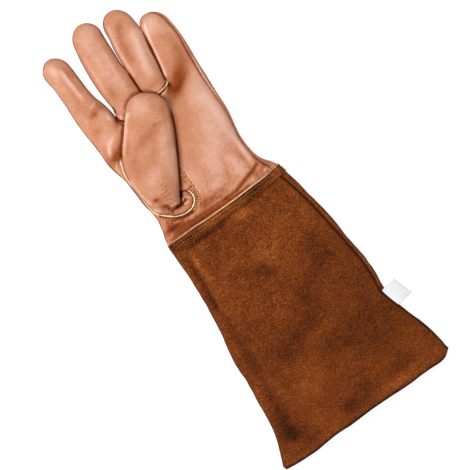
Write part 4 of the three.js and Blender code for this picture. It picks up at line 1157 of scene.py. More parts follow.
def addFingers(grids, which, columns, back=False):
    # the fingers' own tubes go on from the last row of the hand's strips
    for finger in which:
        grid = fingerGrid(finger, columns, back)
        grid["points"][0] = grids[finger]["points"][-1]
        grids.append(grid)
    return grids


def makePalm():
    columns = panelGrid["columns"]
    grids = addFingers(joinedStrips(palmGrid, palmEnds, columns), (0, 3), columns)
    folds = handFolds + thumbRows + thumbRims + thumbHoles
    return leatherPanel("palm_panel", grids, folds, handRelief, cut=cutThumbHole)


def makeBack():
    columns = panelGrid["backColumns"]
    grids = addFingers(joinedStrips(backGrid, backEnds, columns, True), range(4), columns, True)
    return leatherPanel("back_panel", grids, [], backRelief)


palmSheet = makePalm()
for finger, node in ((1, "middle_finger_front"), (2, "ring_finger_front")):
    leatherPanel(node, [frontGrid(finger)], handFolds, handRelief)
makeBack()
print("hand panels made")


# Surfaces that other pieces are laid on

def smoothed(values, half):
    # running mean over half steps to each side
    width = 2 * half + 1
    return np.convolve(np.pad(values, half, mode="edge"), np.ones(width) / width, mode="valid")


class Surface:
    # millimetres above the floor from which points are dropped, higher than every piece
    above = 80

    def __init__(self, sheet):
        points, faces = sheet
        self.tree = BVHTree.FromPolygons([tuple(p) for p in points.tolist()],
                                         [tuple(f) for group in faces for f in group.tolist()])

    def drop(self, x, y):
        # height and normal of the surface under each x, y, and whether there is any
        down = Vector((0, 0, -1))
        rays = [self.tree.ray_cast(Vector((px, py, self.above)), down) for px, py in zip(x, y)]
        found = np.array([place is not None for place, _, _, _ in rays])
        heights = np.array([place.z if place is not None else 0.0 for place, _, _, _ in rays])
        normals = np.array([tuple(normal) if normal is not None else (0, 0, 1) for _, normal, _, _ in rays])
        return heights, normals, found

    def heightsUnder(self, line, plain, half):
        # a running mean of the heights under a line, with a plain height where there is no surface
        heights, _, found = self.drop(*line.T)
        return smoothed(np.where(found, heights, plain), half)


palmSurface = Surface(palmSheet)


# Thumb: a tube that lies over the palm

thumbAxis = {"x": -29.5, "y": 67.2, "turn": 56.4}
# Each station joins a point on the thumb's left outline to one on its right outline: the left point's place
# along and across the thumb's axis, the right point's, and the height of the leather at the left and at the
# right. Up to the tenth the left side is sewn into the palm, and past it the thumb is free.
thumbStations = [
    (-44.8, 8.7, -44.8, 8.9, 16.2, 16.2), (-42.5, 3.5, -45.4, 13, 16, 16.6),
    (-39.6, 0.4, -45.8, 16.9, 15.8, 17), (-36.2, -2.9, -45.4, 21.1, 15.4, 17.8),
    (-30.9, -7.5, -41, 20.3, 14.8, 20.8), (-24.7, -12, -38.2, 23.6, 14.4, 23.2),
    (-20.5, -14.6, -35.7, 27.2, 14.4, 24.2), (-17, -16.3, -28.5, 26.5, 14.8, 24.3),
    (-8.5, -19.8, -19, 26.3, 16, 24.2), (0.7, -21.3, -7, 25.6, 19.5, 24.2),
    (14.8, -20.9, 7.6, 24.3, 23.5, 24.2), (30.4, -19.5, 26, 21.7, 23.8, 24.2),
    (44, -18.5, 41.7, 18.8, 24, 24.4), (49.6, -17, 48.6, 17.4, 24, 24.4),
    (53.4, -14.8, 52.2, 15.6, 23.8, 24.2), (56.2, -11.8, 55.6, 11.6, 23.6, 23.8),
    (58.2, -8, 58.2, 6.2, 23.4, 23.5), (59.4, -1.6, 59.4, -1.4, 23.2, 23.2),
]
thumbShape = {
    "crown": 36.6, "tipCrown": 34.6, "tipFrom": 10, "tipTo": 58, "fullHalf": 20.0, "domePower": 0.8,
    "under": 22.7, "square": 2.7, "rootSquare": 2.0, "squareFrom": -37, "squareTo": -28,
    "freeFrom": 2, "freeTo": 16,
    "rows": 210, "thumb_front": 90, "thumb_back": 30, "rightSeam": -0.34, "freeSeam": 0.34, "rootEdge": -1.45,
    "rightDark": (0.17, 0.23), "leftDark": (0.42, 0.52), "darkRoom": 9, "seed": 11,
}
# Dimples, creases and ridges of the thumb: painted shade in the hollows and creases, painted highlights on
# the ridges and along the left edge
thumbFolds = [
    spot(-43, 35.4, 0.6, 2.4, 1.4, -12, -0.36),
    spot(-41.6, 34.6, 0.5, 6.5, 3.2, -14, -0.3),
    spot(-40.5, 27, 0.5, 4.5, 2.6, -40, -0.4),
    crease([(-40, 28), (-37.7, 26), (-37.2, 23.6), (-35, 21.8)], 0.3, 1.3, -0.42, fade=0.3),
    crease([(-49.2, 31.5), (-46.8, 27.8), (-43, 24.6)], -0.8, 1.2, 0.35, fade=0.2),
    crease([(-49, 40), (-48.4, 37), (-47, 34.5)], -0.4, 1.4, 0.35, fade=0.2),
    crease([(-36, 25), (-33, 23.8), (-28.5, 24)], -0.3, 1, 0.35, fade=0.2),
    crease([(-37.5, 37.5), (-33, 36.6), (-28.5, 37.8)], 0.4, 0.8, -0.22),
    crease([(-36.5, 34.4), (-31.5, 33.4), (-27, 34.2)], 0.4, 0.8, -0.22),
    crease([(-35, 40.6), (-31, 40.2), (-27.5, 41.4)], 0.3, 0.7, -0.18),
    crease([(-34, 43.6), (-31, 43.4), (-28.6, 44.4)], 0.3, 0.7, -0.16),
    crease([(-36, 31), (-32, 30), (-29, 28.5)], 0.3, 0.8, -0.16),
    crease([(-46.6, 80.5), (-42, 86.2), (-37.2, 91.8), (-31.8, 98.5), (-26.5, 105), (-22, 109.6),
            (-18, 113)], -0.8, 1.7, 0.42),
    crease([(-2, 88), (-10, 86.6), (-18, 84.6), (-26, 82.8), (-34, 80)], 0.5, 4, -0.17, fade=0.3),
    spot(-38, 75, 0.3, 9, 4, 60, -0.13),
    crease([(-50.6, 64), (-51.2, 55), (-50.4, 46), (-49.2, 38)], 0, 0.9, 0.3),
    crease([(-43.5, 80), (-38.5, 86.5), (-33, 93)], 0.5, 2.2, -0.12),
    crease([(-9, 90.2), (-4.5, 88.8), (0, 88.2)], 0.35, 1.6, -0.2),
    spot(-8, 73, -0.4, 12, 4, 60, 0.14),
    spot(-20, 70, 0.6, 15, 4, 60, -0.1),
    spot(-33, 54, -0.5, 11, 6, 30, 0.16),
    spot(-44, 60, 0.3, 12, 4, 85, -0.06),
    spot(-24, 46, 0.3, 9, 3, 58, -0.05),
    spot(-7, 110, -0.2, 10, 7, 50, 0.16),
    spot(7, 97, 0.3, 12, 3, 62, -0.14),
    crease([(-24, 32), (-20.3, 38.3), (-14.2, 48.7), (-7.2, 61.5), (0.7, 78.3), (6, 90)],
           0, 1.6, 0.07, fade=0.15),
]
# its seam's and side's tones are painted shade, in the seams' tuck and on the steep sides
thumbRelief = dict(handRelief, tuckDeep=0.6, tuckWide=1.1, slow=0.32, slowSize=13, seamShade=0.5, sideShade=0.3,
                   sideFrom=0.62, sideTo=1.0, crumple=0.06, crumpleTone=0.08)


def fromAxis(along, across):
    turn = math.radians(thumbAxis["turn"])
    x = thumbAxis["x"] + along * math.cos(turn) + across * math.sin(turn)
    y = thumbAxis["y"] + along * math.sin(turn) - across * math.cos(turn)
    return x, y


def thumbAngles(name, free):
    # the angles at which the thumb's front or back starts and ends: 0 is at the right side, a quarter turn at
    # the crown and half a turn at the left; free is 0 where the left side is sewn in and 1 past that
    shape = thumbShape
    right = shape["rightSeam"] + 0 * free
    if name == "thumb_front":
        return right, math.pi + shape["freeSeam"] * free
    return mix(shape["rootEdge"], -math.pi + shape["freeSeam"], free), right


def thumbGrid(name, count):
    # an oval squared a little over each line from the left outline to the right; its crown drops where the
    # thumb narrows to its ends
    shape = thumbShape
    stations = splinePoints(thumbStations, shape["rows"]).T[..., None]
    leftAlong, left, rightAlong, right, leftHigh, rightHigh = stations
    leftX, leftY = fromAxis(leftAlong, left)
    rightX, rightY = fromAxis(rightAlong, right)
    half = np.hypot(rightX - leftX, rightY - leftY) / 2
    dome = np.clip(half / shape["fullHalf"], 0, 1) ** shape["domePower"]
    start, end = thumbAngles(name, smooth(leftAlong, shape["freeFrom"], shape["freeTo"]))
    angle = start + (end - start) * np.linspace(0, 1, count + 1)
    square = smooth(leftAlong, shape["squareFrom"], shape["squareTo"])
    power = 2 / mix(shape["rootSquare"], shape["square"], square)
    place = 0.5 + 0.5 * signedPower(np.cos(angle), power)
    lift = signedPower(np.sin(angle), power)
    side = mix(leftHigh, rightHigh, place)
    middle = (leftHigh + rightHigh) / 2
    fullCrown = mix(shape["crown"], shape["tipCrown"], smooth(leftAlong, shape["tipFrom"], shape["tipTo"]))
    crown = middle + (fullCrown - middle) * dome
    under = middle + (shape["under"] - middle) * dome
    z = np.where(lift >= 0, side + (crown - side) * lift, side - (side - under) * -lift)
    return np.stack([mix(leftX, rightX, place), mix(leftY, rightY, place), z], axis=-1)


def makeThumb():
    # from the root up to rightDark and leftDark, shares of the way to the tip, the edges get no painted seam
    # shade
    shape = thumbShape
    for name, folds in (("thumb_front", thumbFolds), ("thumb_back", [])):
        grid = thumbGrid(name, shape[name])
        length = lengthAlong(grid)
        share = np.linspace(0, 1, len(grid))[:, None]
        rightEdge = length + shape["darkRoom"] * (1 - smooth(share, *shape["rightDark"]))
        leftEdge = length[:, -1:] - length + shape["darkRoom"] * (1 - smooth(share, *shape["leftDark"]))
        sheet = {"points": grid[::-1], "edge": np.minimum(rightEdge, leftEdge)[::-1]}
        leatherPanel(name, [sheet], folds, thumbRelief, seed=shape["seed"])


makeThumb()
print("thumb made")


# The folded lip of leather inside the thumb's seam

collarShape = {
    "fromX": -40.0, "fromY": 17.7, "start": 0.5, "width": 11.5, "rows": 46, "columns": 260,
    "beside": 1.5, "plainHigh": 15.0, "even": 6, "sunk": 0.3, "rise": 3.2, "rollWide": 3.2, "rollPower": 0.7,
    "drop": 3.0, "dropFrom": 7.6, "dropTo": 10.5, "endFade": 0.12, "tailFrom": 0.93, "tailLess": 0.6,
    "rough": 0.16, "roughSize": 1.8, "roughSeed": 22, "cloud": 0.12, "cloudSize": 2.4, "cloudSeed": 23,
    "tone": -0.24, "dropShade": -0.6, "lineShade": -0.9, "lineAt": 1.1, "lineWide": 0.55, "wall": 1.0,
}
# Crumples of the collar's leather, and the crease between it and the thumb: painted shade in the crease and
# the crumples' hollows, painted highlights on their ridges
collarFolds = [
    crease([(-36.5, 22.2), (-34.6, 21.5), (-32, 20.8), (-29.6, 20.3), (-26, 20), (-23.9, 20.7)],
           1.3, 1.1, -1.8, fade=0.06),
    crease([(-28, 19), (-24, 19.1), (-19, 19.4)], -0.7, 0.6, 0.45, fade=0.15),
    crease([(-26, 17.8), (-22, 17.7), (-18.5, 18.2)], 0.6, 0.55, -0.5, fade=0.15),
    spot(-23, 23.6, -0.8, 2.4, 0.8, 15, 0.5),
    spot(-22.5, 21.9, 0.9, 2.8, 0.8, 10, -0.8),
    spot(-18.5, 22.6, -0.7, 1.9, 0.9, -40, 0.45),
    spot(-21, 26.8, 0.9, 2.6, 0.9, 40, -0.8),
    spot(-19.3, 27.6, -0.6, 2, 0.7, 40, 0.45),
    crease([(-16.2, 20), (-17.2, 17.9), (-19.3, 16.4)], 0.3, 0.5, -0.5, fade=0.2),
    spot(-27.5, 17.2, 0, 4.5, 1.6, 0, 0.12),
]


def inwardOf(line):
    # directions across a flat line, to its left
    ahead = unit(np.gradient(line, axis=0))
    return np.stack([-ahead[:, 1], ahead[:, 0]], axis=1)


def makeCollar():
    # the thumb's leather turned in above its seam: a roll inside the cord, crumples, then under the thumb
    shape = collarShape
    begin = np.argmin(np.hypot(loopLine[:, 0] - shape["fromX"], loopLine[:, 1] - shape["fromY"]))
    line = evenly(loopLine[begin:], shape["columns"])
    inward = inwardOf(line)
    t = np.linspace(0, 1, shape["rows"])[:, None]
    inside = shape["start"] + (shape["width"] - shape["start"]) * t
    place = line[None] + inward[None] * inside[..., None]
    x, y = place[..., 0], place[..., 1]
    heights = palmSurface.heightsUnder(line - inward * shape["beside"], shape["plainHigh"], shape["even"])
    along = np.linspace(0, 1, shape["columns"])[None]
    roll = np.sin(math.pi / 2 * np.clip(inside / shape["rollWide"], 0, 1)) ** shape["rollPower"]
    drop = smooth(inside, shape["dropFrom"], shape["dropTo"])
    ends = (smooth(along, -shape["endFade"], shape["endFade"])
            * (1 - shape["tailLess"] * smooth(along, shape["tailFrom"], 1)))
    pressed, painted = foldsAt(x, y, collarFolds)
    z = heights[None] - shape["sunk"] + shape["rise"] * roll * ends - pressed - shape["drop"] * drop
    z = z + shape["rough"] * softNoise(x, y, shape["roughSize"], shape["roughSeed"])
    # painted shade along a line just inside the cord and where the leather drops under the thumb
    tone = painted + shape["lineShade"] * bell(inside, shape["lineAt"], shape["lineWide"])
    tone = tone + shape["dropShade"] * drop + shape["tone"]
    tone = tone + shape["cloud"] * softNoise(x, y, shape["cloudSize"], shape["cloudSeed"])
    grid = {"points": np.concatenate([place, z[..., None]], axis=2)[:, ::-1], "edge": tone[:, ::-1]}
    points, tone, faces = weld([grid])
    piece = makeObject("thumb_collar", points, faces, leather, (),
                       {"tone": np.clip(0.5 + 0.5 * tone, 0, 1)})
    return addWall(piece, shape["wall"])


makeCollar()


# Seam cords

cordLook = {"sides": 10, "swell": 0.16, "swellSize": 9}


def unevenSwell(count, seed):
    t = np.arange(count, dtype=float)
    return 1 + cordLook["swell"] * softNoise(t, 0 * t, cordLook["swellSize"], seed)


def makeCord(node, path, shape, material, slot, tone, added=False, **turned):
    # an added cord stands for no node of the part
    sides = cordLook["sides"]
    points, faces = cordMesh(path, shape["radius"], sides, unevenSwell(len(path), shape["seed"]), **turned)
    tone = np.repeat(0.5 + 0.5 * np.broadcast_to(tone, len(path)), sides)
    return makeObject(node, points, faces, material, () if added else (node,), {"tone": tone})


thumbCord = {
    "part": 0.985, "inside": 0.8, "plainHigh": 14.0, "even": 8, "up": 0.5, "radius": 0.68, "seed": 31,
    "bump": 0.9, "bumpX": -44, "bumpWide": 5, "bumpBelow": 35, "sunk": 0.5, "sunkFrom": (30, 36),
    "sunkTo": (58, 66), "lift": 1.2, "liftFrom": 0.76, "liftTo": 0.85,
    "tones": [(0, -0.12), (0.16, -0.12), (0.3, -0.35), (0.45, -0.25), (0.6, -0.15), (0.7, 0), (0.9, -0.05),
              (1, -0.2)],
}


def thumbCordPath():
    # on the palm beside the hole; along the left side it lies lower, under the thumb's edge
    shape = thumbCord
    line = loopLine[: int(shape["part"] * len(loopLine))]
    beside = line + inwardOf(line) * shape["inside"]
    height = palmSurface.heightsUnder(beside, shape["plainHigh"], shape["even"])
    x, y = line.T
    bump = shape["bump"] * bell(x, shape["bumpX"], shape["bumpWide"]) * (y < shape["bumpBelow"])
    bump = bump - shape["sunk"] * smooth(y, *shape["sunkFrom"]) * (1 - smooth(y, *shape["sunkTo"]))
    bump = bump + shape["lift"] * smooth(np.linspace(0, 1, len(line)), shape["liftFrom"], shape["liftTo"])
    return np.column_stack([line, height + shape["up"] + smoothed(bump, shape["even"])])


baseCord = {
    "from": 0.2, "to": 1.93, "steps": 160, "points": 200, "even": 6, "up": 0.3, "held": 0.8, "heldDrop": 0.8,
    "endDrop": 4.0, "endFrom": 0.93, "radius": 0.68, "seed": 32, "tone": -0.5,
}


def baseCordPath():
    # along the seam; past held it stays nearly as high as there, and its very end sinks in
    shape = baseCord
    path = []
    for value in np.linspace(shape["from"], shape["to"], shape["steps"]):
        finger = 1 if value <= 1 else 2
        y = baseSeam(np.array([value]))
        point, _ = stripPoints(finger, np.array([[value - (finger - 1)]]), y[:, None])
        path.append(point[0, 0])
    path = evenly(np.array(path), shape["points"])
    path[:, 2] = smoothed(path[:, 2], shape["even"]) + shape["up"]
    held = int(shape["held"] * len(path))
    path[held:, 2] = np.maximum(path[held:, 2], path[held, 2] - shape["heldDrop"])
    path[:, 2] -= shape["endDrop"] * smooth(np.arange(len(path)), shape["endFrom"] * len(path), len(path))
    return path


sideCord = {"start": 3.2, "steps": 260, "points": 300}
# The side cords' tones along y: painted shade where they lie in the seam, and on the little finger's side a
# painted highlight where the cord stands out, y 88 to 112
sideWelts = {
    "index_side_welt": {
        "finger": 0, "share": 0, "end": 178, "out": -0.7, "up": -0.4, "radius": 0.7, "seed": 33,
        "tones": [(3, -0.35), (178, -0.35)],
    },
    "little_side_welt": {
        "finger": 3, "share": 1, "end": 168, "out": 0.8, "up": 0.1, "radius": 0.62, "seed": 33,
        "tones": [(3, -0.3), (75, -0.25), (88, 0.2), (112, 0.25), (125, -0.3), (140, -0.1), (168, -0.1)],
    },
}


def sideCordPath(shape):
    shares = np.array([[shape["share"]]])
    places = np.linspace(sideCord["start"], shape["end"], sideCord["steps"])
    points, _ = stripPoints(shape["finger"], shares, rowsY(places, shares))
    return evenly(points[:, 0] + np.array([shape["out"], 0, shape["up"]]), sideCord["points"])


def cuffRing(y, count):
    # points round the cuff's oval at one place
    shares = np.linspace(0, 1, count, endpoint=False)[None, :]
    oval = cuffOval(np.array([float(y)]))
    x, z, _ = alongOval(oval, np.array([[fullTurn]]), np.array([[0.0]]), shares)
    return np.column_stack([x[0], y + wristShift(x[0], y), z[0]]), oval


wristCord = {
    "points": 460, "upperFrom": 4, "upperTo": 9, "up": 0.2, "clear": 0.05,
    "wave": 0.3, "waveSize": 13, "waveSeed": 35,
    "tones": [(-57, -0.45), (-20, -0.32), (3, -0.28), (12, 0), (50, 0), (62, -0.2)],
    "cloud": 0.25, "cloudSize": 6, "cloudSeed": 36, "radius": 0.42, "seed": 34,
}
# The end of the wrist's cord stands out of the seam at the right
wristEnd = {
    "line": [(56.8, 1.7), (58.6, 2.4), (60.4, 3.2), (62, 4.4)], "points": 60, "above": 9,
    "up": 0.4, "even": 6, "radius": 0.55, "seed": 37, "tone": -0.3,
}


def wristCordPath():
    shape = wristCord
    path, _ = cuffRing(0, shape["points"])
    upper = smooth(path[:, 2], shape["upperFrom"], shape["upperTo"])
    path[:, 2] = np.maximum(path[:, 2] + shape["up"] * upper, shape["radius"] + shape["clear"])
    wave = softNoise(path[:, 0], path[:, 2], shape["waveSize"], shape["waveSeed"])
    path[:, 1] += shape["wave"] * wave * upper
    return path


def wristEndPath(around):
    # at the height of the cord round the wrist
    shape = wristEnd
    upper = around[(around[:, 0] > 0) & (around[:, 2] > shape["above"])]
    upper = upper[np.argsort(upper[:, 0])]
    line = splinePoints(shape["line"], shape["points"])
    high = np.interp(line[:, 0], upper[:, 0], upper[:, 2]) + shape["up"]
    return np.column_stack([line, smoothed(high, shape["even"])])


def makeCords():
    path = thumbCordPath()
    tone = linesThrough(thumbCord["tones"], np.linspace(0, 1, len(path)))
    makeCord("thumb_welt", path, thumbCord, piping, "cream_trim", tone)
    makeCord("finger_base_welt", baseCordPath(), baseCord, piping, "cream_trim", baseCord["tone"])
    for node, shape in sideWelts.items():
        path = sideCordPath(shape)
        makeCord(node, path, shape, leather, "tan_leather", linesThrough(shape["tones"], path[:, 1]))
    shape, path = wristCord, wristCordPath()
    cloud = softNoise(path[:, 0], path[:, 2], shape["cloudSize"], shape["cloudSeed"])
    tone = linesThrough(shape["tones"], path[:, 0]) + shape["cloud"] * cloud
    makeCord("wrist_welt", path, shape, piping, "cream_trim", tone, up=(0, 1, 0), closed=True)
    shape, path = wristEnd, wristEndPath(path)
    makeCord("wrist_welt_end", path, shape, piping, "cream_trim", shape["tone"], added=True)


makeCords()
print("seam cords made")


# Gauntlet

# Folds of the gauntlet seen from above: painted shade in the hollows and under the band's edge, painted
# highlights on the swellings
cuffFolds = [
    spot(-20, -12, 0, 12, 3, 10, 0.18),
    crease([(-49.8, -16), (-50, -30), (-50.6, -45), (-51.4, -60), (-52.4, -72), (-53.4, -84)],
           1.7, 2.3, -0.36, fade=0.25),
    spot(-43.6, -33, -1, 17, 2.9, 92, 0.42),
    spot(-56.5, -32, -0.2, 20, 2.2, 92, 0.22),
    spot(-54.5, -62, 0, 12, 4, 92, -0.25),
    spot(-61, -190, 0, 14, 6, 100, -0.22),
    crease([(-50, -72), (-52, -100), (-54, -125), (-56, -150)], 1.8, 4, -0.2),
    crease([(-55.5, -142), (-57.5, -165), (-60, -190), (-62, -205)], 2, 5.5, -0.3),
    spot(-55, -197, 0.9, 12, 7, -25, -0.3),
    spot(-50, -208, 0.2, 15, 4, 5, -0.3),
    spot(40, -208.5, 0, 15, 3.4, 0, 0.3),
    crease([(-50, -12), (-38, -13), (-24, -13), (-10, -12.2), (6, -10.6)], 1.6, 2.2, -0.6, fade=0.25),
    spot(-22, -12.6, 0.5, 5, 1.4, 8, -0.3),
    spot(-50, -10, 0.4, 10, 4, 0, -0.2),
    crease([(16, -8.5), (34, -8), (50, -8.6), (58, -10)], 0.8, 1.6, -0.4),
    spot(12, -16, -1.1, 10, 4.5, 0, 0.5),
    spot(-36, -24, -0.4, 8, 10, 0, 0.2),
    crease([(-34, -52), (-16, -58), (0, -66), (10, -76)], 1, 5, -0.26),
    spot(8, -56, -0.9, 15, 6, 150, 0.22),
    spot(25, -44, -0.6, 18, 10, 60, 0.16),
    spot(50, -68, 0.8, 14, 10, 60, -0.22),
    crease([(62, -84), (42, -92), (26, -98), (10, -108)], 1.8, 8, -0.22),
    crease([(26, -110), (8, -122), (-14, -132), (-36, -136)], 1.3, 8, -0.2),
    spot(33, -128, -0.6, 10, 6, 30, 0.12),
    crease([(66, -140), (46, -148), (24, -152), (4, -146)], 1.9, 10, -0.24),
    spot(46, -168, 0.8, 18, 12, 20, -0.2),
    spot(-18, -172, -1.2, 18, 14, 80, 0.12),
    crease([(24, -194), (6, -201), (-12, -206)], 1.4, 6, -0.24),
    spot(50, -200, 0.8, 22, 6, 8, -0.18),
    spot(-20, -95, -0.6, 22, 14, 70, 0.08),
    spot(30, -125, 0, 60, 45, 0, -0.15),
]
# its seam's and side's tones are painted shade, in the seams' tuck and on the steep sides
cuffRelief = {
    "tuckDeep": 0.9, "tuckWide": 1.5, "slow": 0.9, "slowSize": 24, "quick": 0.25, "quickSize": 6,
    "seamShade": 0.8, "seamWide": 0.9, "sideShade": 0.6, "sideFrom": 0.4, "sideTo": 0.8, "unevenTone": 0.1,
}
cuffGrid = {
    "rows": 210, "columns": 170, "underBand": 2.5, "rimStep": 8, "hemRadius": 1.5, "hemRows": 10,
    "hemInside": 12, "stitchLine": 5.8, "wallShare": 0.8, "seed": 5,
}
hemShape = {
    "ridge": 0.8, "ridgeFrom": -0.8, "ridgeTo": 1.2, "groove": 0.5, "grooveWide": 0.9, "grooveShade": 0.10,
    "outerFrom": 1.0, "outerTo": 3.0, "floorFrom": 0.1, "floorTo": 2, "plainFrom": 0.5, "plainTo": 4,
    "pucker": 0.25, "puckerSize": 2.6, "puckerSeed": 8, "puckerAt": 6.5, "puckerWide": 3.5,
    "worn": 0.13, "wornAt": 5.5, "wornWide": 1.1, "wornLeast": 0.35, "wornX": 42, "wornLong": 22,
    "wornSize": 7, "wornSeed": 9, "rimShade": 0.5, "rimAt": 0.5, "rimWide": 1.2,
    "cornerFrom": 76, "cornerTo": 93, "cornerMost": 1.2, "cornerLift": 6.4, "cornerHigh": 20,
    "sag": -1.6, "sagX": -56, "sagWide": 20,
    "wave": [(-85, -0.4), (-70, -0.4), (-60, 0), (-50, 0), (-40, 0.5), (-30, 0.85), (-22, 0.75), (-15, 0.3),
             (-10, 0.45), (0, 1.0), (10, 1.4), (20, 1.35), (30, 1.2), (40, 0.8), (50, 0.7), (60, 1.3),
             (70, 1.25), (76, 0.9), (81, 0.25), (86, -0.5), (95, -0.5)],
}


def hemLift(x, y):
    # the hem isn't quite straight: its right corner is rounded, its left end sags and the rest waves
    shape = hemShape
    near = 1 - smooth(y, form["hemLine"], form["hemLine"] + shape["cornerHigh"])
    into = (x - shape["cornerFrom"]) / (shape["cornerTo"] - shape["cornerFrom"])
    corner = shape["cornerLift"] * np.clip(into, 0, shape["cornerMost"]) ** 2
    sag = shape["sag"] * bell(x, shape["sagX"], shape["sagWide"])
    return (corner + sag + linesThrough(shape["wave"], x)) * near


def cuffPoints(shares, y, back):
    oval = cuffOval(y)
    seam = readTable(cuffTable, "y", "seam", y).reshape(-1, 1)
    right = angleAt(oval, oval["middle"] + oval["half"] - seam)
    left = fullTurn - angleAt(oval, oval["middle"] - oval["half"] + form["cuffInset"])
    if back:
        x, z, width = alongOval(oval, right, left - fullTurn, shares)
    else:
        x, z, width = alongOval(oval, left, right, shares)
    lifted = y[:, None] + wristShift(x, y[:, None]) + hemLift(x, y[:, None])
    return np.stack([x, lifted, z], axis=-1), width, oval


def cuffSheetPoints(back):
    # down the outside, round the fold at the hem and up the inside, where the hem is sewn down
    shape = cuffGrid
    shares = sharesOf(shape["columns"])
    radius = shape["hemRadius"]
    bottom = form["hemLine"] + radius
    y = np.linspace(form["bandEnd"] + shape["underBand"], bottom, shape["rows"])
    outside, width, _ = cuffPoints(shares, y, back)
    edge = seamDistance(shares, width)
    rim, _, oval = cuffPoints(shares, np.array([bottom, bottom + shape["rimStep"]]), back)
    down = unit(rim[0] - rim[1])
    plain = 0 * rim[0, :, 0]
    heart = np.stack([oval["middle"][0] + plain, rim[0, :, 1], oval["level"][0] + plain], axis=1)
    inward = unit(np.cross(np.gradient(rim[0], axis=0), down))
    inward *= np.where(np.sum(inward * (heart - rim[0]), axis=1, keepdims=True) < 0, -1, 1)
    turn = np.linspace(0, math.pi, shape["hemRows"] + 1)[1:, None, None]
    curl = rim[0] + down * radius * np.sin(turn) + inward * radius * (1 - np.cos(turn))
    up = np.linspace(0, form["hemFold"], shape["hemInside"] + 1)[1:, None, None]
    points = np.concatenate([outside, curl, rim[0] + inward * 2 * radius - down * up])
    edges = np.concatenate([edge, np.repeat(edge[-1:], len(points) - len(edge), axis=0)])
    return {"points": points[::-1], "edge": edges[::-1]}


def hemRelief(points, move, tone):
    # the fold stands out, its row of stitches sinks in with painted shade in the groove, beside it the suede
    # puckers and is worn pale, and the rolled rim gets painted shade
    shape, fold = hemShape, form["hemFold"]
    x, y, z = points.T
    fromHem = y - form["hemLine"] - hemLift(x, y)
    floor = smooth(z, shape["floorFrom"], shape["floorTo"])
    outer = smooth(fromHem, shape["outerFrom"], shape["outerTo"]) * floor
    ridge = shape["ridge"] * (1 - smooth(fromHem, fold + shape["ridgeFrom"], fold + shape["ridgeTo"]))
    groove = bell(fromHem, cuffGrid["stitchLine"], shape["grooveWide"])
    pucker = (shape["pucker"] * softNoise(x, 0 * fromHem, shape["puckerSize"], shape["puckerSeed"])
              * bell(fromHem, shape["puckerAt"], shape["puckerWide"]))
    move = (move * smooth(fromHem, shape["plainFrom"], shape["plainTo"])
            + (ridge - shape["groove"] * groove + pucker) * outer)
    strong = shape["wornLeast"] + bell(x, shape["wornX"], shape["wornLong"])
    worn = (shape["worn"] * strong * bell(fromHem, shape["wornAt"], shape["wornWide"])
            * (1 + softNoise(x, 0 * fromHem, shape["wornSize"], shape["wornSeed"])))
    # the dark line along the rolled rim is painted shade
    worn = worn - shape["rimShade"] * bell(fromHem, shape["rimAt"], shape["rimWide"])
    return move, np.clip(tone + (worn - shape["grooveShade"] * groove) * floor, 0, 1)


def makeCuff(node, folds, back):
    points, edge, faces = weld([cuffSheetPoints(back)])
    normals = sheetNormals(points, faces)
    move, tone = reliefOf(points, normals, edge, folds, cuffRelief, cuffGrid["seed"])
    move, tone = hemRelief(points, move, tone)
    points = points + normals * move[:, None]
    points[:, 2] = np.maximum(points[:, 2], 0)
    piece = makeObject(node, points, faces, suede, (node,), {"tone": tone})
    addWall(piece, form["suedeWall"] * cuffGrid["wallShare"])
    return points, faces


cuffSheet = makeCuff("cuff_front", cuffFolds, back=False)
cuffBackSheet = makeCuff("cuff_back", [], back=True)
print("gauntlet made")


# Band round the wrist, and the tag

bandShape = {
    "steps": 420, "rows": 26, "over": 0.5, "proud": 0.8, "edge": 0.8, "flat": 90,
    "floorFrom": 0.3, "floorTo": 3,
    "stitchRows": (-2.7, -6.0), "rowWide": 0.5, "rowDeep": 0.3, "rowShade": 0.3,
    "wave": 0.25, "waveUp": 3, "waveAlong": 6, "waveSize": 12, "waveSeed": 41,
    "cloud": 0.25, "cloudStretch": 5, "cloudSize": 7, "cloudSeed": 42,
}
bandFolds = [
    spot(-44, -5, 0, 16, 5, 0, -0.4),
    spot(-10, -3.5, 0, 30, 1.2, 0, 0.2),
    spot(25, -5.6, 0, 16, 2.4, 2, 0.2),
    spot(56, -4, 0, 6, 4, 4, 0.3),
    spot(-14, -3.2, 0, 18, 1, 0, 0.3),
    spot(34, -4, 0, 15, 4, 2, -0.5),
    crease([(-52, -4.6), (-30, -4.4), (-8, -4.9), (14, -4.2)], 0, 0.4, -0.3),
    spot(-20, -4.5, 0, 30, 2.6, 0, 0.22),
    crease([(0, -7.6), (20, -7.2), (44, -7)], 0, 0.5, -0.24),
]


def bandGrid():
    # rings from the cuff's side to the hand's, moved outwards by the roll of the edges, the rows and a wave
    shape = bandShape
    length = form["bandTop"] + shape["over"] - form["bandEnd"]
    rings = []
    for share in np.linspace(0, 1, shape["rows"]):
        y = form["bandEnd"] + length * share
        ring, oval = cuffRing(y, shape["steps"])
        sideways = (ring[:, 0] - oval["middle"][0, 0]) / oval["half"][0, 0] ** 2
        upward = (ring[:, 2] - oval["level"][0, 0]) / shape["flat"]
        away = unit(np.stack([sideways, 0 * sideways, upward], axis=1))
        roll = 1 - (1 - min(share * length / shape["edge"], (1 - share) * length / shape["edge"], 1)) ** 2
        sunk = sum(shape["rowDeep"] * bell(y, row, shape["rowWide"]) for row in shape["stitchRows"])
        v = shape["waveUp"] * ring[:, 2] + shape["waveAlong"] * y
        wave = softNoise(ring[:, 0], v, shape["waveSize"], shape["waveSeed"])
        out = shape["proud"] * roll - sunk + shape["wave"] * wave
        out = out * smooth(ring[:, 2], shape["floorFrom"], shape["floorTo"])
        rings.append(ring + away * out[:, None])
    grid = np.array(rings)
    return np.concatenate([grid, grid[:, :1]], axis=1)


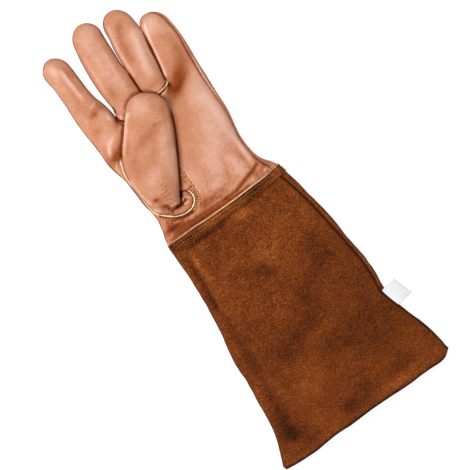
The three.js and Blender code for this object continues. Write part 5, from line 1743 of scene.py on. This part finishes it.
def makeBand():
    # the suede strip round the wrist: it stands proud of the cuff and rolls in at both edges
    shape = bandShape
    grid = bandGrid()
    points, _, faces = weld([{"points": grid, "edge": np.zeros(grid.shape[:2])}])
    points[:, 2] = np.maximum(points[:, 2], 0)
    x, y = points[:, 0], points[:, 1] - wristShift(points[:, 0], points[:, 1])
    _, tone = foldsAt(x, y, bandFolds)
    cloud = softNoise(x, y * shape["cloudStretch"], shape["cloudSize"], shape["cloudSeed"])
    tone = tone + shape["cloud"] * cloud
    # painted shade along the sunken stitch rows
    tone = tone - sum(shape["rowShade"] * bell(y, row, shape["rowWide"]) for row in shape["stitchRows"])
    piece = makeObject("cuff_band", points, faces, suede, ("cuff_band",),
                       {"tone": np.clip(0.5 + 0.5 * tone, 0, 1)})
    addWall(piece, form["suedeWall"])
    return points, faces


bandSheet = makeBand()

tagShape = {
    "low": -156.0, "high": -137.5, "reach": 15.0, "inset": 0.8, "lift": 1.2, "tilt": 2.6, "droop": 5,
    "droopPower": 1.5, "bow": 0.5, "rows": 24, "wall": 0.7,
}


def makeTag():
    # a small folded tape: its surface bows a little and its free edge droops
    shape = tagShape
    t = np.linspace(0, 1, shape["rows"])
    along, share = np.meshgrid(t, t, indexing="ij")
    y = mix(shape["low"], shape["high"], along)
    seamX = readTable(cuffTable, "y", "right", y) - readTable(cuffTable, "y", "seam", y)
    oval = cuffOval(y[:, 0])
    seamZ = ovalPoint(oval, angleAt(oval, seamX[:, 0]))[1]
    x = seamX + shape["inset"] + share * shape["reach"]
    z = (seamZ + shape["lift"] - shape["droop"] * share ** shape["droopPower"]
         + shape["bow"] * np.sin(math.pi * along) * share)
    points = np.stack([x, y + share * shape["tilt"], z], axis=-1)
    points, _, faces = weld([{"points": points[:, ::-1], "edge": 0 * x}])
    faces = [group[:, ::-1] for group in faces]
    piece = makeObject("cuff_tag", points, faces, tagCloth, ("cuff_tag",))
    return addWall(piece, shape["wall"])


makeTag()
print("band and tag made")


# Stitches

stitchForm = {"sides": 6, "rings": 7, "sunk": 0.35, "archPower": 0.6, "endSize": 0.55, "archSize": 0.45}


def stitchMesh(starts, ends, normals, radius):
    # each stitch is a short thread that comes up out of the leather and goes down again
    sides, rings, sunk = stitchForm["sides"], stitchForm["rings"], stitchForm["sunk"]
    t = np.linspace(0, 1, rings)
    ahead = unit(ends - starts)
    side = unit(np.cross(ahead, normals))
    top = np.cross(side, ahead)
    arch = np.sin(math.pi * t) ** stitchForm["archPower"]
    centre = (starts[:, None] + (ends - starts)[:, None] * t[None, :, None]
              + top[:, None] * (radius * (arch * (1 + sunk) - sunk))[None, :, None])
    size = radius * (stitchForm["endSize"] + stitchForm["archSize"] * arch)
    angle = np.linspace(0, fullTurn, sides, endpoint=False)
    ring = (side[:, None, None] * np.cos(angle)[None, None, :, None]
            + top[:, None, None] * np.sin(angle)[None, None, :, None]) * size[None, :, None, None]
    points = (centre[:, :, None] + ring).reshape(-1, 3)
    number = np.arange(len(starts) * rings * sides).reshape(len(starts), rings, sides)
    here, after = number[:, :-1], number[:, 1:]
    faces = np.stack([here, after, np.roll(after, -1, axis=2), np.roll(here, -1, axis=2)], axis=-1)
    caps = [number[:, 0].reshape(-1, sides), number[:, -1, ::-1].reshape(-1, sides)]
    return points, [faces.reshape(-1, 4), np.vstack(caps)]


def stitchesAlong(line, surface, row):
    # stitches laid on a surface along a line seen from above; those that miss the surface are left out
    line = np.asarray(line, float)
    length = lengthAlong(line)
    count = max(int(length[-1] / row["pitch"]), 1)
    begin = np.arange(count) * length[-1] / count
    ends, met = [], np.ones(count, bool)
    for at in (begin, begin + row["share"] * length[-1] / count):
        x, y = np.interp(at, length, line[:, 0]), np.interp(at, length, line[:, 1])
        height, normal, found = surface.drop(x, y)
        ends.append((np.column_stack([x, y, height]), normal))
        met &= found
    (start, startNormal), (end, endNormal) = ends
    normal = unit(startNormal + endNormal)
    met &= np.abs(start[:, 2] - end[:, 2]) < 2 * row["pitch"]
    return stitchMesh(start[met], end[met], normal[met], row["radius"])


cuffSurface, cuffBackSurface, bandSurface = Surface(cuffSheet), Surface(cuffBackSheet), Surface(bandSheet)
cuffRows = {
    "band": {"pitch": 2.5, "share": 0.62, "radius": 0.27, "from": -52.5, "to": 60.0, "steps": 300},
    "hem": {"pitch": 2.9, "share": 0.7, "radius": 0.27, "from": -77.5, "to": 86.5, "steps": 400},
    "seam": {"pitch": 2.6, "share": 0.55, "radius": 0.24, "from": -12, "to": -134, "steps": 300,
             "inset": 0.55},
}


def makeStitches(name, lines, surface, rows, thread):
    # a row of settings for each line
    parts = [stitchesAlong(line, surface, row) for line, row in zip(lines, rows)]
    points, faces = joinMeshes(parts)
    return makeObject(name, points, faces, thread)


def placesOf(row):
    return np.linspace(row["from"], row["to"], row["steps"])


def bandLines():
    x = placesOf(cuffRows["band"])
    return [np.column_stack([x, y + wristShift(x, y)]) for y in bandShape["stitchRows"]]


def hemPath():
    # along the hem and up round its right corner
    x = placesOf(cuffRows["hem"])
    y = form["hemLine"] + cuffGrid["stitchLine"]
    return np.column_stack([x, y + hemLift(x, np.full(x.shape, y))])


def seamPath():
    # on the strip outside the cuff's right-hand seam
    y = placesOf(cuffRows["seam"])
    right, seam = readTable(cuffTable, "y", "right", y), readTable(cuffTable, "y", "seam", y)
    return np.column_stack([right - cuffRows["seam"]["inset"] * seam, y])


for name, kind in (("thumb_stitches", "gold"), ("edge_stitches", "cream"), ("seat_stitches", "brown")):
    rows = [row for row in thumbRows if row["thread"] == kind]
    lines = [splinePoints(row["line"], curveSteps["stitches"]) for row in rows]
    makeStitches(name, lines, palmSurface, rows, threads[kind])
makeStitches("band_stitches", bandLines(), bandSurface, 2 * [cuffRows["band"]], threads["band"])
makeStitches("hem_stitches", [hemPath()], cuffSurface, [cuffRows["hem"]], threads["brown"])
makeStitches("seam_stitches", [seamPath()], cuffBackSurface, [cuffRows["seam"]], threads["band"])
print("stitches made")


# Floor, light and camera

stageLook = {
    "floor": (132, 132, 132), "floorSize": 8.0, "low": -0.0003,
    "glow": 0.88, "roughness": 0.9, "specular": 0.1, "horizon": 0.2, "zenith": 0.5,
}


def makeFloor():
    half = stageLook["floorSize"] / 2
    mesh = bpy.data.meshes.new("floor")
    corners = [(-half, -half), (half, -half), (half, half), (-half, half)]
    mesh.from_pydata([(x, y, stageLook["low"]) for x, y in corners], [], [(0, 1, 2, 3)])
    floor = bpy.data.objects.new("floor", mesh)
    bpy.context.scene.collection.objects.link(floor)
    material, net, shader, _ = newMaterial("paleFloor")
    net.fill(shader, {
        "Base Color": linear(*stageLook["floor"]), "Roughness": stageLook["roughness"],
        "Specular IOR Level": stageLook["specular"], "Emission Color": (1, 1, 1, 1),
        "Emission Strength": stageLook["glow"],
    })
    mesh.materials.append(material)
    return floor


lamps = {
    "key": {"place": (-1.05, 0.62, 1.95), "size": 0.9, "power": 37.5},
    "top": {"place": (0.3, 0.3, 2.3), "size": 2.2, "power": 10.0},
    "low": {"place": (0.2, -1.7, 1.4), "size": 1.2, "power": 4.0},
}


def makeLamp(name, look):
    data = bpy.data.lights.new(name, "AREA")
    data.shape = "DISK"
    data.size = look["size"]
    data.energy = look["power"]
    lamp = bpy.data.objects.new(name, data)
    lamp.location = look["place"]
    lamp.rotation_euler = (-Vector(look["place"])).to_track_quat("-Z", "Y").to_euler()
    bpy.context.scene.collection.objects.link(lamp)
    return lamp


# The photograph's frame: the drawing's point at its middle, millimetres to a pixel, how the glove is turned,
# and the height above the floor, in metres, at which that scale holds
photo = {
    "size": 470, "mmPerPixel": 0.86, "middleX": -3.7, "middleY": -26.7, "turn": -34.5, "distance": 2.4,
    "scaleHigh": 0.015, "sensor": 36,
}


def makeCamera():
    data = bpy.data.cameras.new("camera")
    camera = bpy.data.objects.new("camera", data)
    x, y, _ = toFrame([photo["middleX"], photo["middleY"], 0.0])
    camera.location = (x, y, photo["distance"])
    camera.rotation_euler = (0, 0, math.radians(photo["turn"]))
    width = photo["size"] * photo["mmPerPixel"] * drawing["scale"]
    data.sensor_width = photo["sensor"]
    data.lens = data.sensor_width * (photo["distance"] - photo["scaleHigh"]) / width
    bpy.context.scene.collection.objects.link(camera)
    bpy.context.scene.camera = camera
    return camera


makeFloor()
for name, look in lamps.items():
    makeLamp(name, look)
makeCamera()


def makeWorld():
    # a pale studio, brighter overhead than at the horizon
    world = bpy.data.worlds.new("studio")
    bpy.context.scene.world = world
    world.use_nodes = True
    net = Net(world.node_tree)
    split = net.add("SeparateXYZ", {"Vector": net.add("TexCoord").outputs["Generated"]})
    strength = net.spread(split.outputs["Z"], 0, 1, stageLook["horizon"], stageLook["zenith"])
    net.fill(net.nodes["Background"], {"Strength": strength, "Color": (1, 1, 1, 1)})


makeWorld()
bpy.context.scene.view_settings.view_transform = "Standard"
print("floor, light and camera made")
